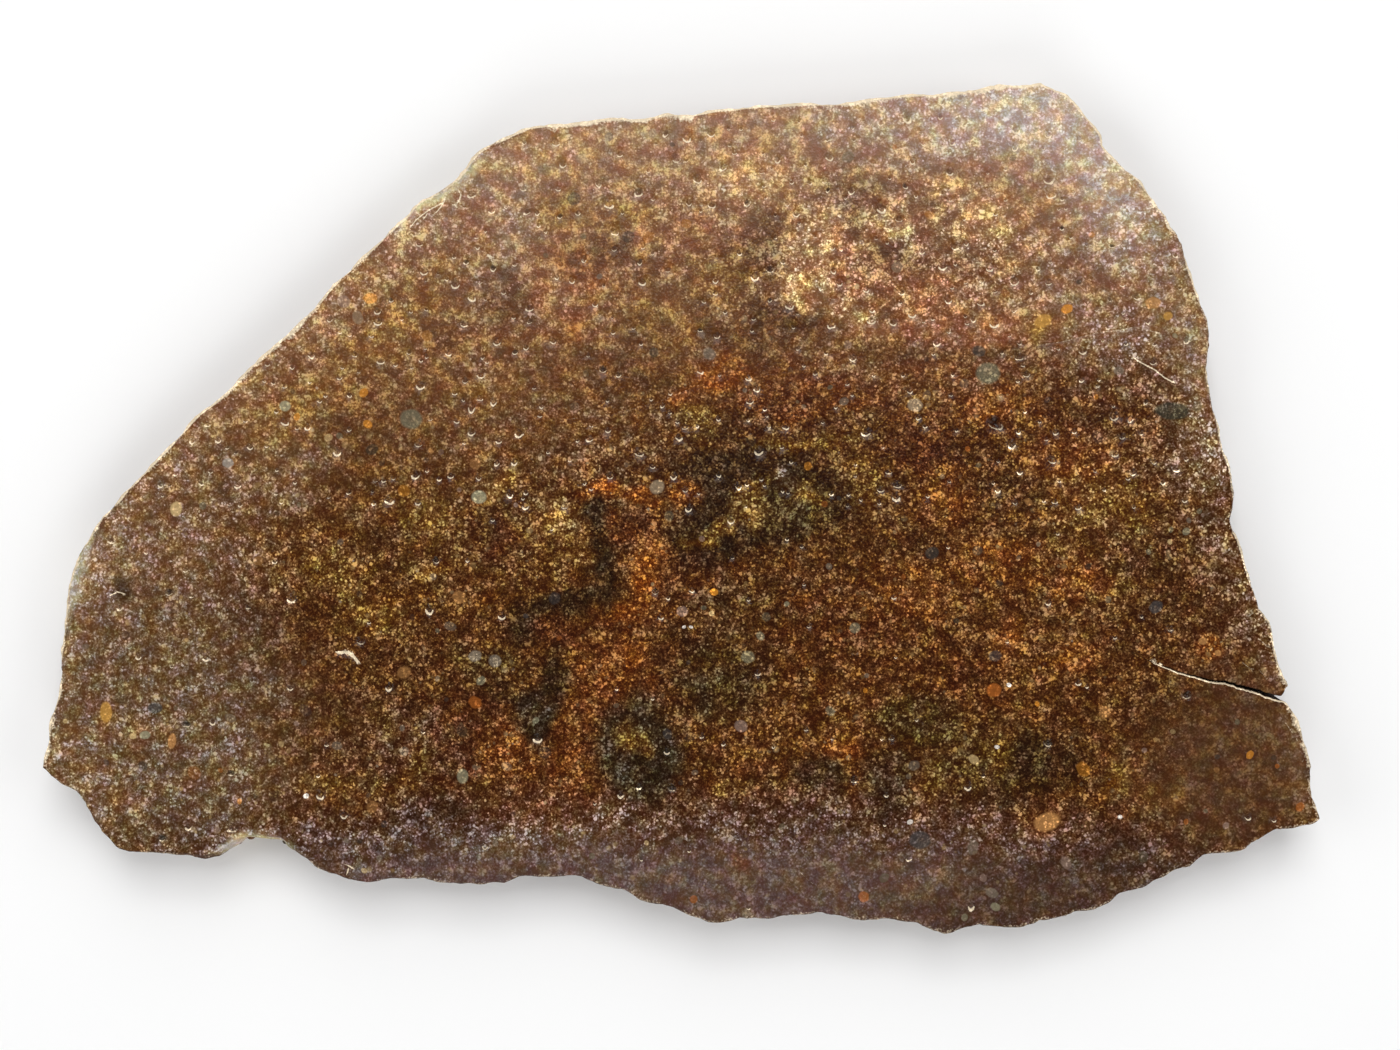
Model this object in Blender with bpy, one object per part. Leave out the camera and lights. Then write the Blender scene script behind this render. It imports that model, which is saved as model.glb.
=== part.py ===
"""A sawn and polished slice of a carbonaceous chondrite meteorite.

It lies on its sawn back, with its polished face up. Metres, +Z up. X runs along the slice's long side,
the origin is under the middle of its box, and the back lies on Z = 0.
"""

import math
from collections import namedtuple

import bmesh
import bpy
from mathutils import Matrix, Vector, noise

# Driving dimensions, in metres
SLICE_WIDTH = 0.0767
SLICE_THICKNESS = 0.0040

# Spacing of the points along the rim, and the heights of the wall's rings,
# from 0 at the back to 1 at the widest ring, just under the polished face
RIM_SPACING = 0.00065
RING_HEIGHTS = (0.0, 0.07, 0.22, 0.40, 0.58, 0.78, 1.0)

# How one stretch of the rim was worn or broken, in metres
# face_inset: from the outline in to the edge of the polished face
# face_drop: from the polished face down to the widest ring
# back_inset: from the outline in to the edge of the back
# belly: above 1 the wall stays full for longer before it turns in to the back
# ledge: depth of the steps left where the stone broke
# lumps: depth of the soft unevenness of the wall
Wear = namedtuple("Wear", "face_inset face_drop back_inset belly ledge lumps")

WORN_BEVEL = Wear(0.00075, 0.00045, 0.00090, 2.2, 0.00004, 0.00018)
WORN = Wear(0.00018, 0.00022, 0.00070, 2.0, 0.00008, 0.00024)
FLAKED = Wear(0.00055, 0.00040, 0.00120, 1.3, 0.00040, 0.00025)
BROKEN = Wear(0.00016, 0.00018, 0.00080, 1.2, 0.00038, 0.00030)
SCALLOPED = Wear(0.00009, 0.00014, 0.00100, 1.1, 0.00045, 0.00034)
NOTCHED = Wear(0.00042, 0.00110, 0.00030, 1.0, 0.00020, 0.00022)
WEAR_BLEND = 4  # rim points on each side over which one stretch passes into the next

# The outline seen square on, read by eye in pixels of the 1400 by 1050 photo, x to the right and y down.
# It runs up the left side, along the top, down the right side and back along the bottom.
OUTLINE = (
    ("left tip", BROKEN, ((42, 768), (46, 746), (50, 716), (59, 692), (60, 668), (62, 644))),
    ("left bevel", WORN_BEVEL, ((65, 615), (67, 586), (75, 561), (84, 542), (99, 520))),
    (
        "upper left side",
        WORN,
        (
            (114, 503), (140, 475), (165, 450), (200, 413), (219, 398), (243, 372),
            (284, 336), (316, 304), (336, 282), (360, 258), (388, 232), (406, 214),
        ),
    ),
    ("flaked corner", FLAKED, ((418, 200), (438, 190), (458, 175), (471, 157), (488, 144))),
    (
        "top side",
        BROKEN,
        (
            (510, 134), (530, 126.5), (575, 121.5), (610, 118), (645, 117.5), (668, 113),
            (689, 114), (732, 108), (802, 103), (850, 102), (880, 97), (940, 92.4),
            (981, 87.6), (1000, 83.6), (1020, 86), (1041, 83.4),
        ),
    ),
    (
        "upper right corner",
        WORN,
        (
            (1053, 88), (1068, 95), (1081, 109), (1101, 135), (1103, 145),
            (1118, 160), (1140, 181), (1160, 207), (1168, 215),
        ),
    ),
    (
        "right side",
        BROKEN,
        (
            (1171, 226), (1179, 234), (1188.5, 267), (1200, 299), (1208, 321), (1210, 345),
            (1206, 367), (1210, 389), (1218, 426), (1222.5, 448), (1230, 468), (1234.5, 504),
            (1231.3, 519.5), (1239.5, 542), (1250, 578), (1259, 600), (1260.5, 608),
            (1271, 621), (1273, 638), (1276, 653), (1283.5, 674), (1288.6, 686),
        ),
    ),
    ("crack mouth", SCALLOPED, ((1283, 695.5), (1282.5, 700), (1288.7, 704))),
    (
        "lower right side",
        SCALLOPED,
        (
            (1298.7, 721.5), (1304.7, 744), (1311.3, 767), (1310.5, 773),
            (1313, 797), (1319.5, 818.5),
        ),
    ),
    (
        "lower right scallops",
        SCALLOPED,
        (
            (1303, 825.8), (1275, 830.8), (1260, 840), (1251.5, 842.5), (1245, 848),
            (1233.5, 851.5), (1213, 853.8), (1203.5, 856.3), (1190, 866.5), (1179, 868.6),
            (1160, 878.3), (1143, 888.3), (1120, 894.5), (1110, 901.5), (1094, 909.5),
            (1073, 911), (1066, 916), (1040, 921), (1024, 926.5), (990, 927),
            (980, 925), (962, 929), (945, 934),
        ),
    ),
    (
        "bottom side",
        SCALLOPED,
        (
            (934, 931), (916, 924), (890, 919), (865, 920), (836, 916.4), (822, 913.6),
            (790, 916), (762, 919.7), (740, 918.4), (718, 923), (700, 918.8), (680, 911),
            (650, 902.5), (640, 900), (622, 889), (599, 885), (582, 877), (560, 877),
            (518, 878), (504, 883), (480, 883), (450, 883.8), (420, 878), (390, 879.6),
            (366, 883.5), (348, 879.6), (320, 869), (304, 858.5), (290, 851),
        ),
    ),
    ("lower left notch", NOTCHED, ((279, 841), (266, 839.8), (246, 841), (236, 846.5), (216, 857))),
    (
        "lower left side",
        BROKEN,
        (
            (203, 860), (190, 858.5), (172, 854.5), (152, 853), (128, 853), (118, 849),
            (100, 832.5), (82, 800.5), (76, 791.5), (60, 784), (50, 776.5),
        ),
    ),
)

# The open crack, from outside its mouth inward, in the same pixels: x, y and the width of the gap
CRACK = (
    (1292, 701, 6.0), (1272, 697, 5.0), (1254, 691, 4.0), (1235, 684.5, 3.5), (1210, 681, 3.0),
    (1191, 675.5, 2.4), (1173, 670.5, 2.0), (1147, 661, 1.2), (1134, 653, 0.6),
)
CRACK_LEAN = 0.0013  # how far the crack runs towards the top side on its way down to the back

# The larger pits of the polished face, in the same pixels:
# x, y, length, width and turn in degrees, anticlockwise as seen from above
PITS = (
    (995, 423, 17, 11, -32), (603, 369, 8, 7, 0), (169, 592, 8, 7, 0), (655, 591, 7, 7, 0),
    (186, 724, 8, 7, 0), (162, 838, 8, 6, 0), (231, 773, 8, 6, 0), (672, 788, 8, 7, 0),
    (1048, 743, 8, 7, 0), (854, 780, 7, 6, 0), (1187, 695, 9, 7, 20), (436, 560, 7, 6, 0),
)
PIT_DEPTH = 0.7  # as a share of the pit's width
PIT_FLOOR = 0.7  # where the pit's side turns in to its floor, as a share of its depth and of its width
PIT_SIDES = 10

CUT_MARGIN = 0.0005  # how far a cutter stands out of the faces that it cuts

STONE_COLOUR = (0.085, 0.042, 0.020, 1.0)
STONE_ROUGHNESS = 0.38
SHARP_ANGLE = math.radians(40)


def outline_box():
    """The lowest and highest pixel of the outline each way."""
    pixels = [pixel for _, _, stretch in OUTLINE for pixel in stretch]
    xs, ys = zip(*pixels)
    return min(xs), max(xs), min(ys), max(ys)


def metres(pixels):
    """A length in pixels as a length in metres, with the slice at its driving width."""
    left, right, _, _ = outline_box()
    return pixels * SLICE_WIDTH / (right - left)


def to_plan(x, y):
    """Where a pixel lies on the slice, seen from above, in metres from the middle of its box."""
    left, right, top, bottom = outline_box()
    return Vector((metres(x - (left + right) / 2), metres((top + bottom) / 2 - y)))


def point_on_curve(before, start, end, after, share):
    """A point of the centripetal curve through four points, a share of the way between the middle two."""
    points = (before, start, end, after)
    knots = [0.0]
    for a, b in zip(points, points[1:]):
        knots.append(knots[-1] + math.sqrt((b - a).length))
    knot = knots[1] + (knots[2] - knots[1]) * share

    def between(a, b, knot_a, knot_b):
        return a.lerp(b, (knot - knot_a) / (knot_b - knot_a))

    sides = [between(points[i], points[i + 1], knots[i], knots[i + 1]) for i in range(3)]
    halves = [between(sides[i], sides[i + 1], knots[i], knots[i + 2]) for i in range(2)]
    return between(halves[0], halves[1], knots[1], knots[2])


def rim_points():
    """Points evenly along the smoothed outline, and the wear at each."""
    corners = [(to_plan(x, y), wear) for _, wear, stretch in OUTLINE for x, y in stretch]
    count = len(corners)
    places = []
    wears = []
    for i, (start, wear) in enumerate(corners):
        before = corners[i - 1][0]
        end = corners[(i + 1) % count][0]
        after = corners[(i + 2) % count][0]
        steps = max(1, round((end - start).length / RIM_SPACING))
        for step in range(steps):
            places.append(point_on_curve(before, start, end, after, step / steps))
            wears.append(wear)
    return places, wears


def blended(wears):
    """Each point's wear averaged with its neighbours'."""
    count = len(wears)
    result = []
    for i in range(count):
        near = [wears[(i + k) % count] for k in range(-WEAR_BLEND, WEAR_BLEND + 1)]
        result.append(Wear(*(sum(values) / len(near) for values in zip(*near))))
    return result


def inward_directions(places):
    """The level direction into the stone at each rim point, taken between its third neighbours.

    It is 1 long on a straight stretch and shorter at a tip, where there is less stone to stand in from.
    """
    count = len(places)
    result = []
    for i in range(count):
        near = [places[(i + k) % count] for k in range(-3, 4)]
        along = near[-1] - near[0]
        walked = sum((b - a).length for a, b in zip(near, near[1:]))
        result.append(Vector((along.y, -along.x)) / walked)
    return result


def wall_inset(wear, height, place):
    """How far the wall stands in from the outline, at a height from 0 at the back to 1 at the widest ring."""
    below = 1 - height
    lean = wear.back_inset * below**wear.belly
    lumps = wear.lumps * (0.5 + noise.noise(place * 420)) * min(1, 3 * below)
    broken_away = min(1, max(0, 0.5 + 4 * noise.noise(place * 650 + Vector((7, 3, 5)))))
    ledge = wear.ledge * broken_away * min(1, 4 * below)
    return max(0, lean + lumps + ledge)


def wall_rings():
    """The rings of the wall, from the edge of the back up to the edge of the polished face."""
    places, wears = rim_points()
    wears = blended(wears)
    inward = inward_directions(places)
    rings = []
    for height in RING_HEIGHTS:
        ring = []
        for plan, wear, direction in zip(places, wears, inward):
            z = (SLICE_THICKNESS - wear.face_drop) * height
            spot = plan + direction * wall_inset(wear, height, Vector((plan.x, plan.y, z)))
            ring.append(Vector((spot.x, spot.y, z)))
        rings.append(ring)
    face_edge = [plan + d * wear.face_inset for plan, wear, d in zip(places, wears, inward)]
    rings.append([Vector((p.x, p.y, SLICE_THICKNESS)) for p in face_edge])
    return rings


def build_slab(bm):
    """The stone before its crack and pits: the wall, the sawn back and the polished face."""
    rings = [[bm.verts.new(point) for point in ring] for ring in wall_rings()]
    for lower, upper in zip(rings, rings[1:]):
        join_rings(bm, lower, upper)
    bm.faces.new(rings[0])
    bm.faces.new(rings[-1])


def join_rings(bm, lower, upper):
    count = len(lower)
    for i in range(count):
        k = (i + 1) % count
        bm.faces.new((lower[i], lower[k], upper[k], upper[i]))


def build_crack(bm):
    """A thin wedge that leans towards the top side as it goes down, through from the face to the back."""
    upper_lip = []
    lower_lip = []
    for i, (x, y, gap) in enumerate(CRACK):
        outer_x, outer_y, _ = CRACK[max(i - 1, 0)]
        inner_x, inner_y, _ = CRACK[min(i + 1, len(CRACK) - 1)]
        across = Vector((outer_y - inner_y, inner_x - outer_x)).normalized() * gap / 2
        upper_lip.append(to_plan(x + across.x, y + across.y))
        lower_lip.append(to_plan(x - across.x, y - across.y))
    edge = upper_lip + lower_lip[::-1]
    rings = []
    for z in (-CUT_MARGIN, SLICE_THICKNESS + CUT_MARGIN):
        shift = CRACK_LEAN * (1 - z / SLICE_THICKNESS)
        rings.append([bm.verts.new((p.x, p.y + shift, z)) for p in edge])
    join_rings(bm, rings[0], rings[1])
    bm.faces.new(rings[0])
    bm.faces.new(rings[1])


def build_pits(bm):
    """One bowl for each pit: straight above the face, and narrowing below it to a rounded tip."""
    for x, y, length, width, turn in PITS:
        middle = to_plan(x, y).to_3d() + Vector((0, 0, SLICE_THICKNESS))
        turned = Matrix.Rotation(math.radians(turn), 3, "Z")
        depth = metres(width) * PIT_DEPTH
        rings = []
        for spread, z in ((PIT_FLOOR, -PIT_FLOOR * depth), (1, 0), (1, CUT_MARGIN)):
            ring = []
            for side in range(PIT_SIDES):
                angle = math.tau * side / PIT_SIDES
                across = metres(length) / 2 * spread * math.cos(angle)
                up = metres(width) / 2 * spread * math.sin(angle)
                ring.append(bm.verts.new(middle + turned @ Vector((across, up, z))))
            rings.append(ring)
        for lower, upper in zip(rings, rings[1:]):
            join_rings(bm, lower, upper)
        tip = bm.verts.new(middle - Vector((0, 0, depth)))
        for i in range(PIT_SIDES):
            bm.faces.new((rings[0][(i + 1) % PIT_SIDES], rings[0][i], tip))
        bm.faces.new(rings[-1])


def new_object(name, build):
    bm = bmesh.new()
    build(bm)
    bmesh.ops.triangulate(bm, faces=bm.faces)
    bmesh.ops.recalc_face_normals(bm, faces=bm.faces)
    mesh = bpy.data.meshes.new(name)
    bm.to_mesh(mesh)
    bm.free()
    made = bpy.data.objects.new(name, mesh)
    bpy.context.scene.collection.objects.link(made)
    return made


def cut(stone, cutter):
    cutter.hide_render = True
    cutter.display_type = "WIRE"
    boolean = stone.modifiers.new(cutter.name, "BOOLEAN")
    boolean.operation = "DIFFERENCE"
    boolean.object = cutter


def stone_material():
    material = bpy.data.materials.new("polished chondrite")
    material.use_nodes = True
    shader = material.node_tree.nodes["Principled BSDF"]
    shader.inputs["Base Color"].default_value = STONE_COLOUR
    shader.inputs["Roughness"].default_value = STONE_ROUGHNESS
    shader.inputs["Metallic"].default_value = 0.0
    return material


for old in list(bpy.data.objects):
    bpy.data.objects.remove(old)

slice_of_stone = new_object("meteorite_slice", build_slab)
slice_of_stone.data.shade_smooth()
slice_of_stone.data.set_sharp_from_angle(angle=SHARP_ANGLE)
slice_of_stone.data.materials.append(stone_material())
cut(slice_of_stone, new_object("crack_cutter", build_crack))
cut(slice_of_stone, new_object("pit_cutter", build_pits))
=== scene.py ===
import math
import random

import bmesh
import bpy
import numpy as np
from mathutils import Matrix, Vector, noise
from mathutils.geometry import delaunay_2d_cdt
from mathutils.kdtree import KDTree


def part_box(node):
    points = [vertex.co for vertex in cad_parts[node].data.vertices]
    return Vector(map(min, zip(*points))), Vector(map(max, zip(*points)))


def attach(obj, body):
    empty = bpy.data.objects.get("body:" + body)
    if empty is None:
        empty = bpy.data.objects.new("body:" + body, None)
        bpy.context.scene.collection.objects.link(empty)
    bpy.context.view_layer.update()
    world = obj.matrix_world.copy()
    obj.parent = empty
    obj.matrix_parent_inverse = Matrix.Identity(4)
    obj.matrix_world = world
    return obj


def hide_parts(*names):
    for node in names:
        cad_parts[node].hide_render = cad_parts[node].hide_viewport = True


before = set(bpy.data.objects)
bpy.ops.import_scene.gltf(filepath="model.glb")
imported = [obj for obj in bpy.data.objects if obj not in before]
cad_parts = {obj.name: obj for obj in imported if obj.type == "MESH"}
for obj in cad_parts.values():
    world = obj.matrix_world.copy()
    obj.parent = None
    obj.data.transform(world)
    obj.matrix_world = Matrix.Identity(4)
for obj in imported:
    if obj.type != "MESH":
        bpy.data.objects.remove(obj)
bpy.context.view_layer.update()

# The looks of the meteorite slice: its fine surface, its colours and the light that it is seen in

# Camera
# The slice is seen square on, filling most of the picture, so the camera looks straight down on it.

stone_low, stone_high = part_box("meteorite_slice")
FACE_Z = stone_high.z
OUTLINE_LEFT, OUTLINE_RIGHT = 42.0, 1319.5
OUTLINE_TOP, OUTLINE_BOTTOM = 83.4, 934.0
PIXEL = (stone_high.x - stone_low.x) / (OUTLINE_RIGHT - OUTLINE_LEFT)
PICTURE_WIDTH, PICTURE_HEIGHT = 1400, 1050


def plan(x, y):
    """Where a pixel of the 1400 by 1050 picture lies on the slice, seen from above, in metres."""
    middle_x = (OUTLINE_LEFT + OUTLINE_RIGHT) / 2
    middle_y = (OUTLINE_TOP + OUTLINE_BOTTOM) / 2
    return Vector(((x - middle_x) * PIXEL, (middle_y - y) * PIXEL))


camera = bpy.data.objects.new("camera", bpy.data.cameras.new("camera"))
camera.data.lens = 50
camera.data.sensor_width = 36
camera.data.clip_start = 0.005
picture_middle = plan(PICTURE_WIDTH / 2, PICTURE_HEIGHT / 2)
camera_height = PICTURE_WIDTH * PIXEL * camera.data.lens / camera.data.sensor_width
camera.location = (picture_middle.x, picture_middle.y, FACE_Z + camera_height)
bpy.context.scene.collection.objects.link(camera)
bpy.context.scene.camera = camera

# Floor and studio light
# A plain pale table in a soft light tent: a key lamp on the side of the slice's top edge, whose light
# falls into the pits, and a lower, weaker one on each side. Straight above, where the polished face
# would mirror it, there is only the weak light of the room.

FLOOR_SIZE = 1.6
LAMP_DISTANCE = 0.45
# Elevation and azimuth in degrees, width in metres and power in watts
LAMPS = (
    (60, 90, 0.26, 0.85),
    (36, 90, 0.30, 0.50),
    (36, 0, 0.30, 0.52),
    (36, 180, 0.30, 0.52),
    (36, 270, 0.30, 0.68),
)
ROOM_LIGHT = 0.15
FLOOR_GAP = 0.00005  # keeps the slice's back and the floor from lying in one plane


def look_at(thing, target):
    thing.rotation_euler = (Vector(target) - thing.location).to_track_quat("-Z", "Y").to_euler()


floor_mesh = bpy.data.meshes.new("floor")
half = FLOOR_SIZE / 2
floor_mesh.from_pydata(
    [(-half, -half, 0), (half, -half, 0), (half, half, 0), (-half, half, 0)], [], [(0, 1, 2, 3)]
)
floor = bpy.data.objects.new("floor", floor_mesh)
floor.location.z = stone_low.z - FLOOR_GAP
bpy.context.scene.collection.objects.link(floor)
floor_paint = bpy.data.materials.new("pale table")
floor_paint.use_nodes = True
floor_shader = floor_paint.node_tree.nodes["Principled BSDF"]
floor_shader.inputs["Base Color"].default_value = (0.96, 0.96, 0.96, 1)
floor_shader.inputs["Roughness"].default_value = 0.9
floor_mesh.materials.append(floor_paint)

for elevation, azimuth, width, power in LAMPS:
    lamp = bpy.data.objects.new("lamp", bpy.data.lights.new("lamp", "AREA"))
    lamp.data.size = width
    lamp.data.energy = power
    rise, round_it = math.radians(elevation), math.radians(azimuth)
    aside = LAMP_DISTANCE * math.cos(rise)
    lamp.location = (
        aside * math.cos(round_it),
        aside * math.sin(round_it),
        LAMP_DISTANCE * math.sin(rise),
    )
    look_at(lamp, (0, 0, 0))
    bpy.context.scene.collection.objects.link(lamp)

world = bpy.data.worlds.new("room")
world.use_nodes = True
backdrop = world.node_tree.nodes["Background"]
backdrop.inputs["Color"].default_value = (1, 1, 1, 1)
backdrop.inputs["Strength"].default_value = ROOM_LIGHT
bpy.context.scene.world = world
bpy.context.scene.view_settings.view_transform = "Standard"

# The slice
# One sawn slice of stony meteorite: rusty dark matrix packed with grains a fraction of a millimetre
# across, ground flat on both sides and polished on its face. The wall is worn, flaked or broken, and
# the face has pits where grains fell out, an open crack and a few scratches. It simply lies there.

WELD = 0.000001
# What counts as part of the flat face or back
FLAT_NORMAL = 0.99
FLAT_DEPTH = 0.00002
WALL_CUTS = 2

# Distances between the points of the face and of the back, and how far they stay from other things
FACE_SPACING = 0.00037
BACK_SPACING = 0.0012
ROW_HEIGHT = 0.87  # as a share of the spacing, so that the points make even triangles
SHAKE = 0.25
NEAR_CELL = 0.0006
RIM_CLEARANCE = 0.00016
LIP_CLEARANCE = 0.00006
FACE_CLEARANCE = 0.00004

# The wall's unevenness, and the outline's: the size of the lumps and how high they stand
WALL_RELIEF = ((0.0014, 0.00014), (0.0006, 0.00008), (0.0003, 0.00004))
EDGE_RAGGEDNESS = ((0.0010, 0.00007), (0.0004, 0.00004))
EDGE_RETREAT = 0.00003
TIGHT_EDGE = 0.00018  # the rim moves less where its edges are shorter than this

# Places on the face are pixels of the 1400 by 1050 picture, x to the right and y down.
# The open crack, from its mouth to its inner end
CRACK = ((1284, 699), (1254, 691), (1235, 684.5), (1210, 681), (1191, 675.5), (1173, 670.5), (1134, 653))
CRACK_REACH = 0.0004
CRACK_LEAN = 0.0013
CRACK_LAYERS = (0.0001, 0.0003)  # depths at which its walls get more vertices
CRACK_CUTS = 4
CRACK_SLOPE = 0.2  # the steepest edge that still counts as running along the crack
CRACK_WAVER = ((0.0011, 0.00009), (0.0004, 0.00005), (0.00017, 0.00004))
# How much of its width in the solid it keeps at its inner end, and from where on outwards all of it
CRACK_INNER_SHARE = 0.35
CRACK_FULL_FROM = 1240

# A scratch's points, in half widths: their distance, the room that each needs and the room that it takes
SCRATCH_STEP = 3
SCRATCH_NEEDS = 1.2
SCRATCH_TAKES = 1.6
SCRATCH_LIP_BRUISE = 0.25
# Scratches and veins: width, depth and paleness, then the line
SCRATCHES = (
    (1.7, 0.6, 0.95, ((1134, 358), (1140, 362), (1155, 370), (1165, 378), (1177, 384))),
    (1.0, 0.3, 0.45, ((1040, 345), (1066, 341), (1096, 333), (1120, 330))),
    (1.0, 0.3, 0.45, ((1117, 331), (1134, 327), (1160, 333))),
    (1.0, 0.2, 0.35, ((800, 872), (808, 880), (816, 886))),
    (1.0, 0.1, 0.3, ((560, 420), (612, 414), (660, 401), (700, 385))),
    (3.4, 0.6, 1.1, ((338, 653), (347, 652), (353, 656), (358, 662))),
    (1.6, 0.2, 0.9, ((412, 225), (417, 219), (429, 210), (444, 202), (440, 208), (435, 214))),
    (1.6, 0.2, 0.9, ((417, 212), (420, 216), (425, 217), (428, 213))),
    (2.0, 0.3, 0.9, ((458, 189), (461, 195), (459, 201), (455, 205), (452, 202))),
    (2.0, 0.6, 0.9, ((347, 875), (349, 866), (354, 869))),
    (1.2, 0.3, 0.6, ((990, 419), (994, 422), (998, 428))),
    # This one is a painted glint
    (5.0, 0.1, 0.75, ((489, 256), (494, 261), (492, 267))),
    (1.6, 0.1, 0.8, ((111, 595), (118, 592), (125, 594))),
    (2.0, 0.1, 0.4, ((1243, 618), (1252, 622))),
    (2.4, 0.1, 0.4, ((1260, 640), (1268, 647))),
    (2.0, 0.1, 0.4, ((1243, 663), (1252, 670))),
    (2.4, 0.1, 0.4, ((1260, 671), (1268, 680))),
    (2.0, 0.1, 0.35, ((1285, 722), (1296, 738), (1306, 756))),
)

# Pits that the photo shows apart from those in the solid: x, y and width
PITS = (
    (186, 724, 6), (162, 838, 7), (231, 773, 6), (672, 788, 6), (1048, 743, 6),
    (854, 780, 5), (1187, 691, 6), (436, 560, 5), (560, 216, 6), (747, 203, 7),
    (493, 268, 7), (905, 186, 6), (640, 262, 6), (515, 352, 6), (828, 190, 5), (1112, 246, 5),
    (1146, 402, 5), (770, 300, 5), (466, 262, 6), (391, 300, 5), (700, 330, 5), (1062, 228, 5),
)
# Small ones, set at random: as many as find room, up to this number
SMALL_PITS = 540
SMALL_PIT_WIDTHS = (3.2, 8.5)
UPPER_HALF_SHARE = 0.88  # of the small pits
PIT_DEPTH = 0.8  # as a share of the half width
PIT_CLEARANCE = 0.00005
PIT_STEP = 0.00009  # between the points of a ring
PIT_SIDES = (9, 18)  # the fewest and the most points of a ring
PIT_LOBES = ((2, 0.15), (3, 0.12))  # how many, and how far they stand out at most
# How strong the painted highlight on the lips of the solid's own pits is
SOLID_PIT_HIGHLIGHT = 0.55
# A pit's rings: their share of its half width and of its depth, and how strong the painted highlight on the
# lip is there
PIT_RINGS = ((1.2, 0.0, 0.2), (0.95, 0.2, 1.0), (0.6, 0.8, 0.15))

# Single grains that stand out: colour, x, y, length, width and turn in degrees
GRAIN_COLOURS = {
    "grey green": (106, 101, 80),
    "dark green": (50, 51, 41),
    "pale green": (152, 147, 118),
    "grey": (122, 110, 94),
    "pale grey": (160, 150, 138),
    "dark grey": (58, 53, 47),
    "blue grey": (64, 61, 60),
    "pink grey": (152, 126, 112),
    "beige": (150, 130, 104),
    "cream": (208, 178, 124),
    "yellow": (192, 142, 66),
    "bright orange": (214, 138, 44),
    "orange": (168, 94, 36),
    "tan": (182, 130, 76),
    "white": (236, 226, 214),
}
GRAINS = (
    ("grey green", 411, 419, 21, 19, 0),
    ("pale green", 285, 406, 11, 10, 0),
    ("pale grey", 228, 463, 11, 9, 0),
    ("cream", 176, 509, 14, 11, 90),
    ("dark green", 1172, 411, 31, 18, -5),
    ("dark green", 1113, 237, 14, 8, 0),
    ("grey green", 988, 373, 23, 20, 0),
    ("dark grey", 979, 351, 12, 11, 0),
    ("beige", 915, 405, 14, 13, 0),
    ("bright orange", 1067, 309, 11, 9, 20),
    ("yellow", 1043, 321, 17, 12, 30),
    ("yellow", 1168, 316, 9, 8, 0),
    ("tan", 1153, 303, 14, 12, 0),
    ("grey green", 1187, 310, 23, 15, 80),
    ("beige", 657, 487, 14, 13, 0),
    ("pale green", 479, 497, 14, 13, 0),
    # These two white dots are painted glints
    ("white", 684, 627, 4, 3, 20),
    ("white", 691, 627, 4, 3, -20),
    ("dark grey", 681, 632, 7, 6, 0),
    ("dark grey", 694, 632, 7, 6, 0),
    ("grey", 495, 661, 12, 12, 0),
    ("grey", 475, 656, 12, 11, 0),
    ("dark grey", 932, 553, 13, 12, 0),
    ("blue grey", 1156, 607, 13, 12, 0),
    ("grey green", 1138, 664, 15, 9, 0),
    ("orange", 994, 690, 14, 13, 0),
    ("white", 1009, 685, 5, 4, 0),
    ("white", 997, 747, 5, 4, 0),
    ("white", 910, 822, 6, 5, 0),
    ("white", 306, 796, 6, 5, 0),
    ("cream", 133, 736, 7, 6, 0),
    ("pale green", 145, 735, 10, 8, 0),
    ("tan", 172, 741, 14, 8, 90),
    ("yellow", 106, 712, 20, 11, 90),
    ("blue grey", 155, 708, 14, 10, 0),
    ("tan", 1047, 822, 24, 18, 10),
    ("cream", 1190, 858, 6, 5, 0),
    ("white", 1120, 817, 5, 4, 0),
    ("bright orange", 714, 592, 8, 7, 0),
    ("tan", 1218, 653, 7, 6, 0),
    ("tan", 1203, 641, 9, 7, 0),
    ("blue grey", 920, 840, 21, 17, 0),
)
# Small ones, set at random: as many as find room, up to this number
SMALL_GRAINS = 230
SMALL_GRAIN_WIDTHS = (4.5, 12.0)
SMALL_GRAIN_COLOURS = (
    "grey green", "grey green", "grey", "grey", "dark grey", "blue grey", "beige", "pink grey",
    "orange", "bright orange", "tan", "cream", "pale green", "dark green", "dark grey",
)
# A grain's rings: their share of its half length, and how much of its colour shows there
GRAIN_RINGS = ((1.18, 0.0), (0.92, 1.0), (0.5, 1.0))
GRAIN_SHARE = 0.78
GRAIN_MIDDLE_SHARE = 0.85
GRAIN_CLEARANCE = 0.00004
GRAIN_STEP = 0.00014
GRAIN_SIDES = (8, 20)
GRAIN_LOBES = ((2, 0.1), (5, 0.07))

# The colours of the polished face, in 0 to 255
TINTS = {
    "brown": (94, 57, 26),
    "umber": (82, 52, 27),
    "soot": (50, 33, 18),
    "charcoal": (55, 42, 29),
    "olive": (74, 54, 27),
    "bister": (100, 66, 35),
    "gold": (122, 87, 40),
    "straw": (148, 110, 62),
    "cream": (186, 146, 108),
    "sand": (160, 123, 97),
    # A painted glare of the lamp on the polish
    "painted glare": (201, 185, 184),
    "rose": (160, 108, 80),
    "ember": (138, 78, 31),
    "rust": (109, 60, 26),
    "brick": (85, 44, 21),
    "tan": (134, 96, 68),
    "dust": (136, 109, 92),
    "ash": (115, 92, 74),
    "plum": (100, 81, 80),
    "cocoa": (79, 58, 49),
    "chocolate": (88, 61, 43),
    "chalk": (204, 196, 184),
}

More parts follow.
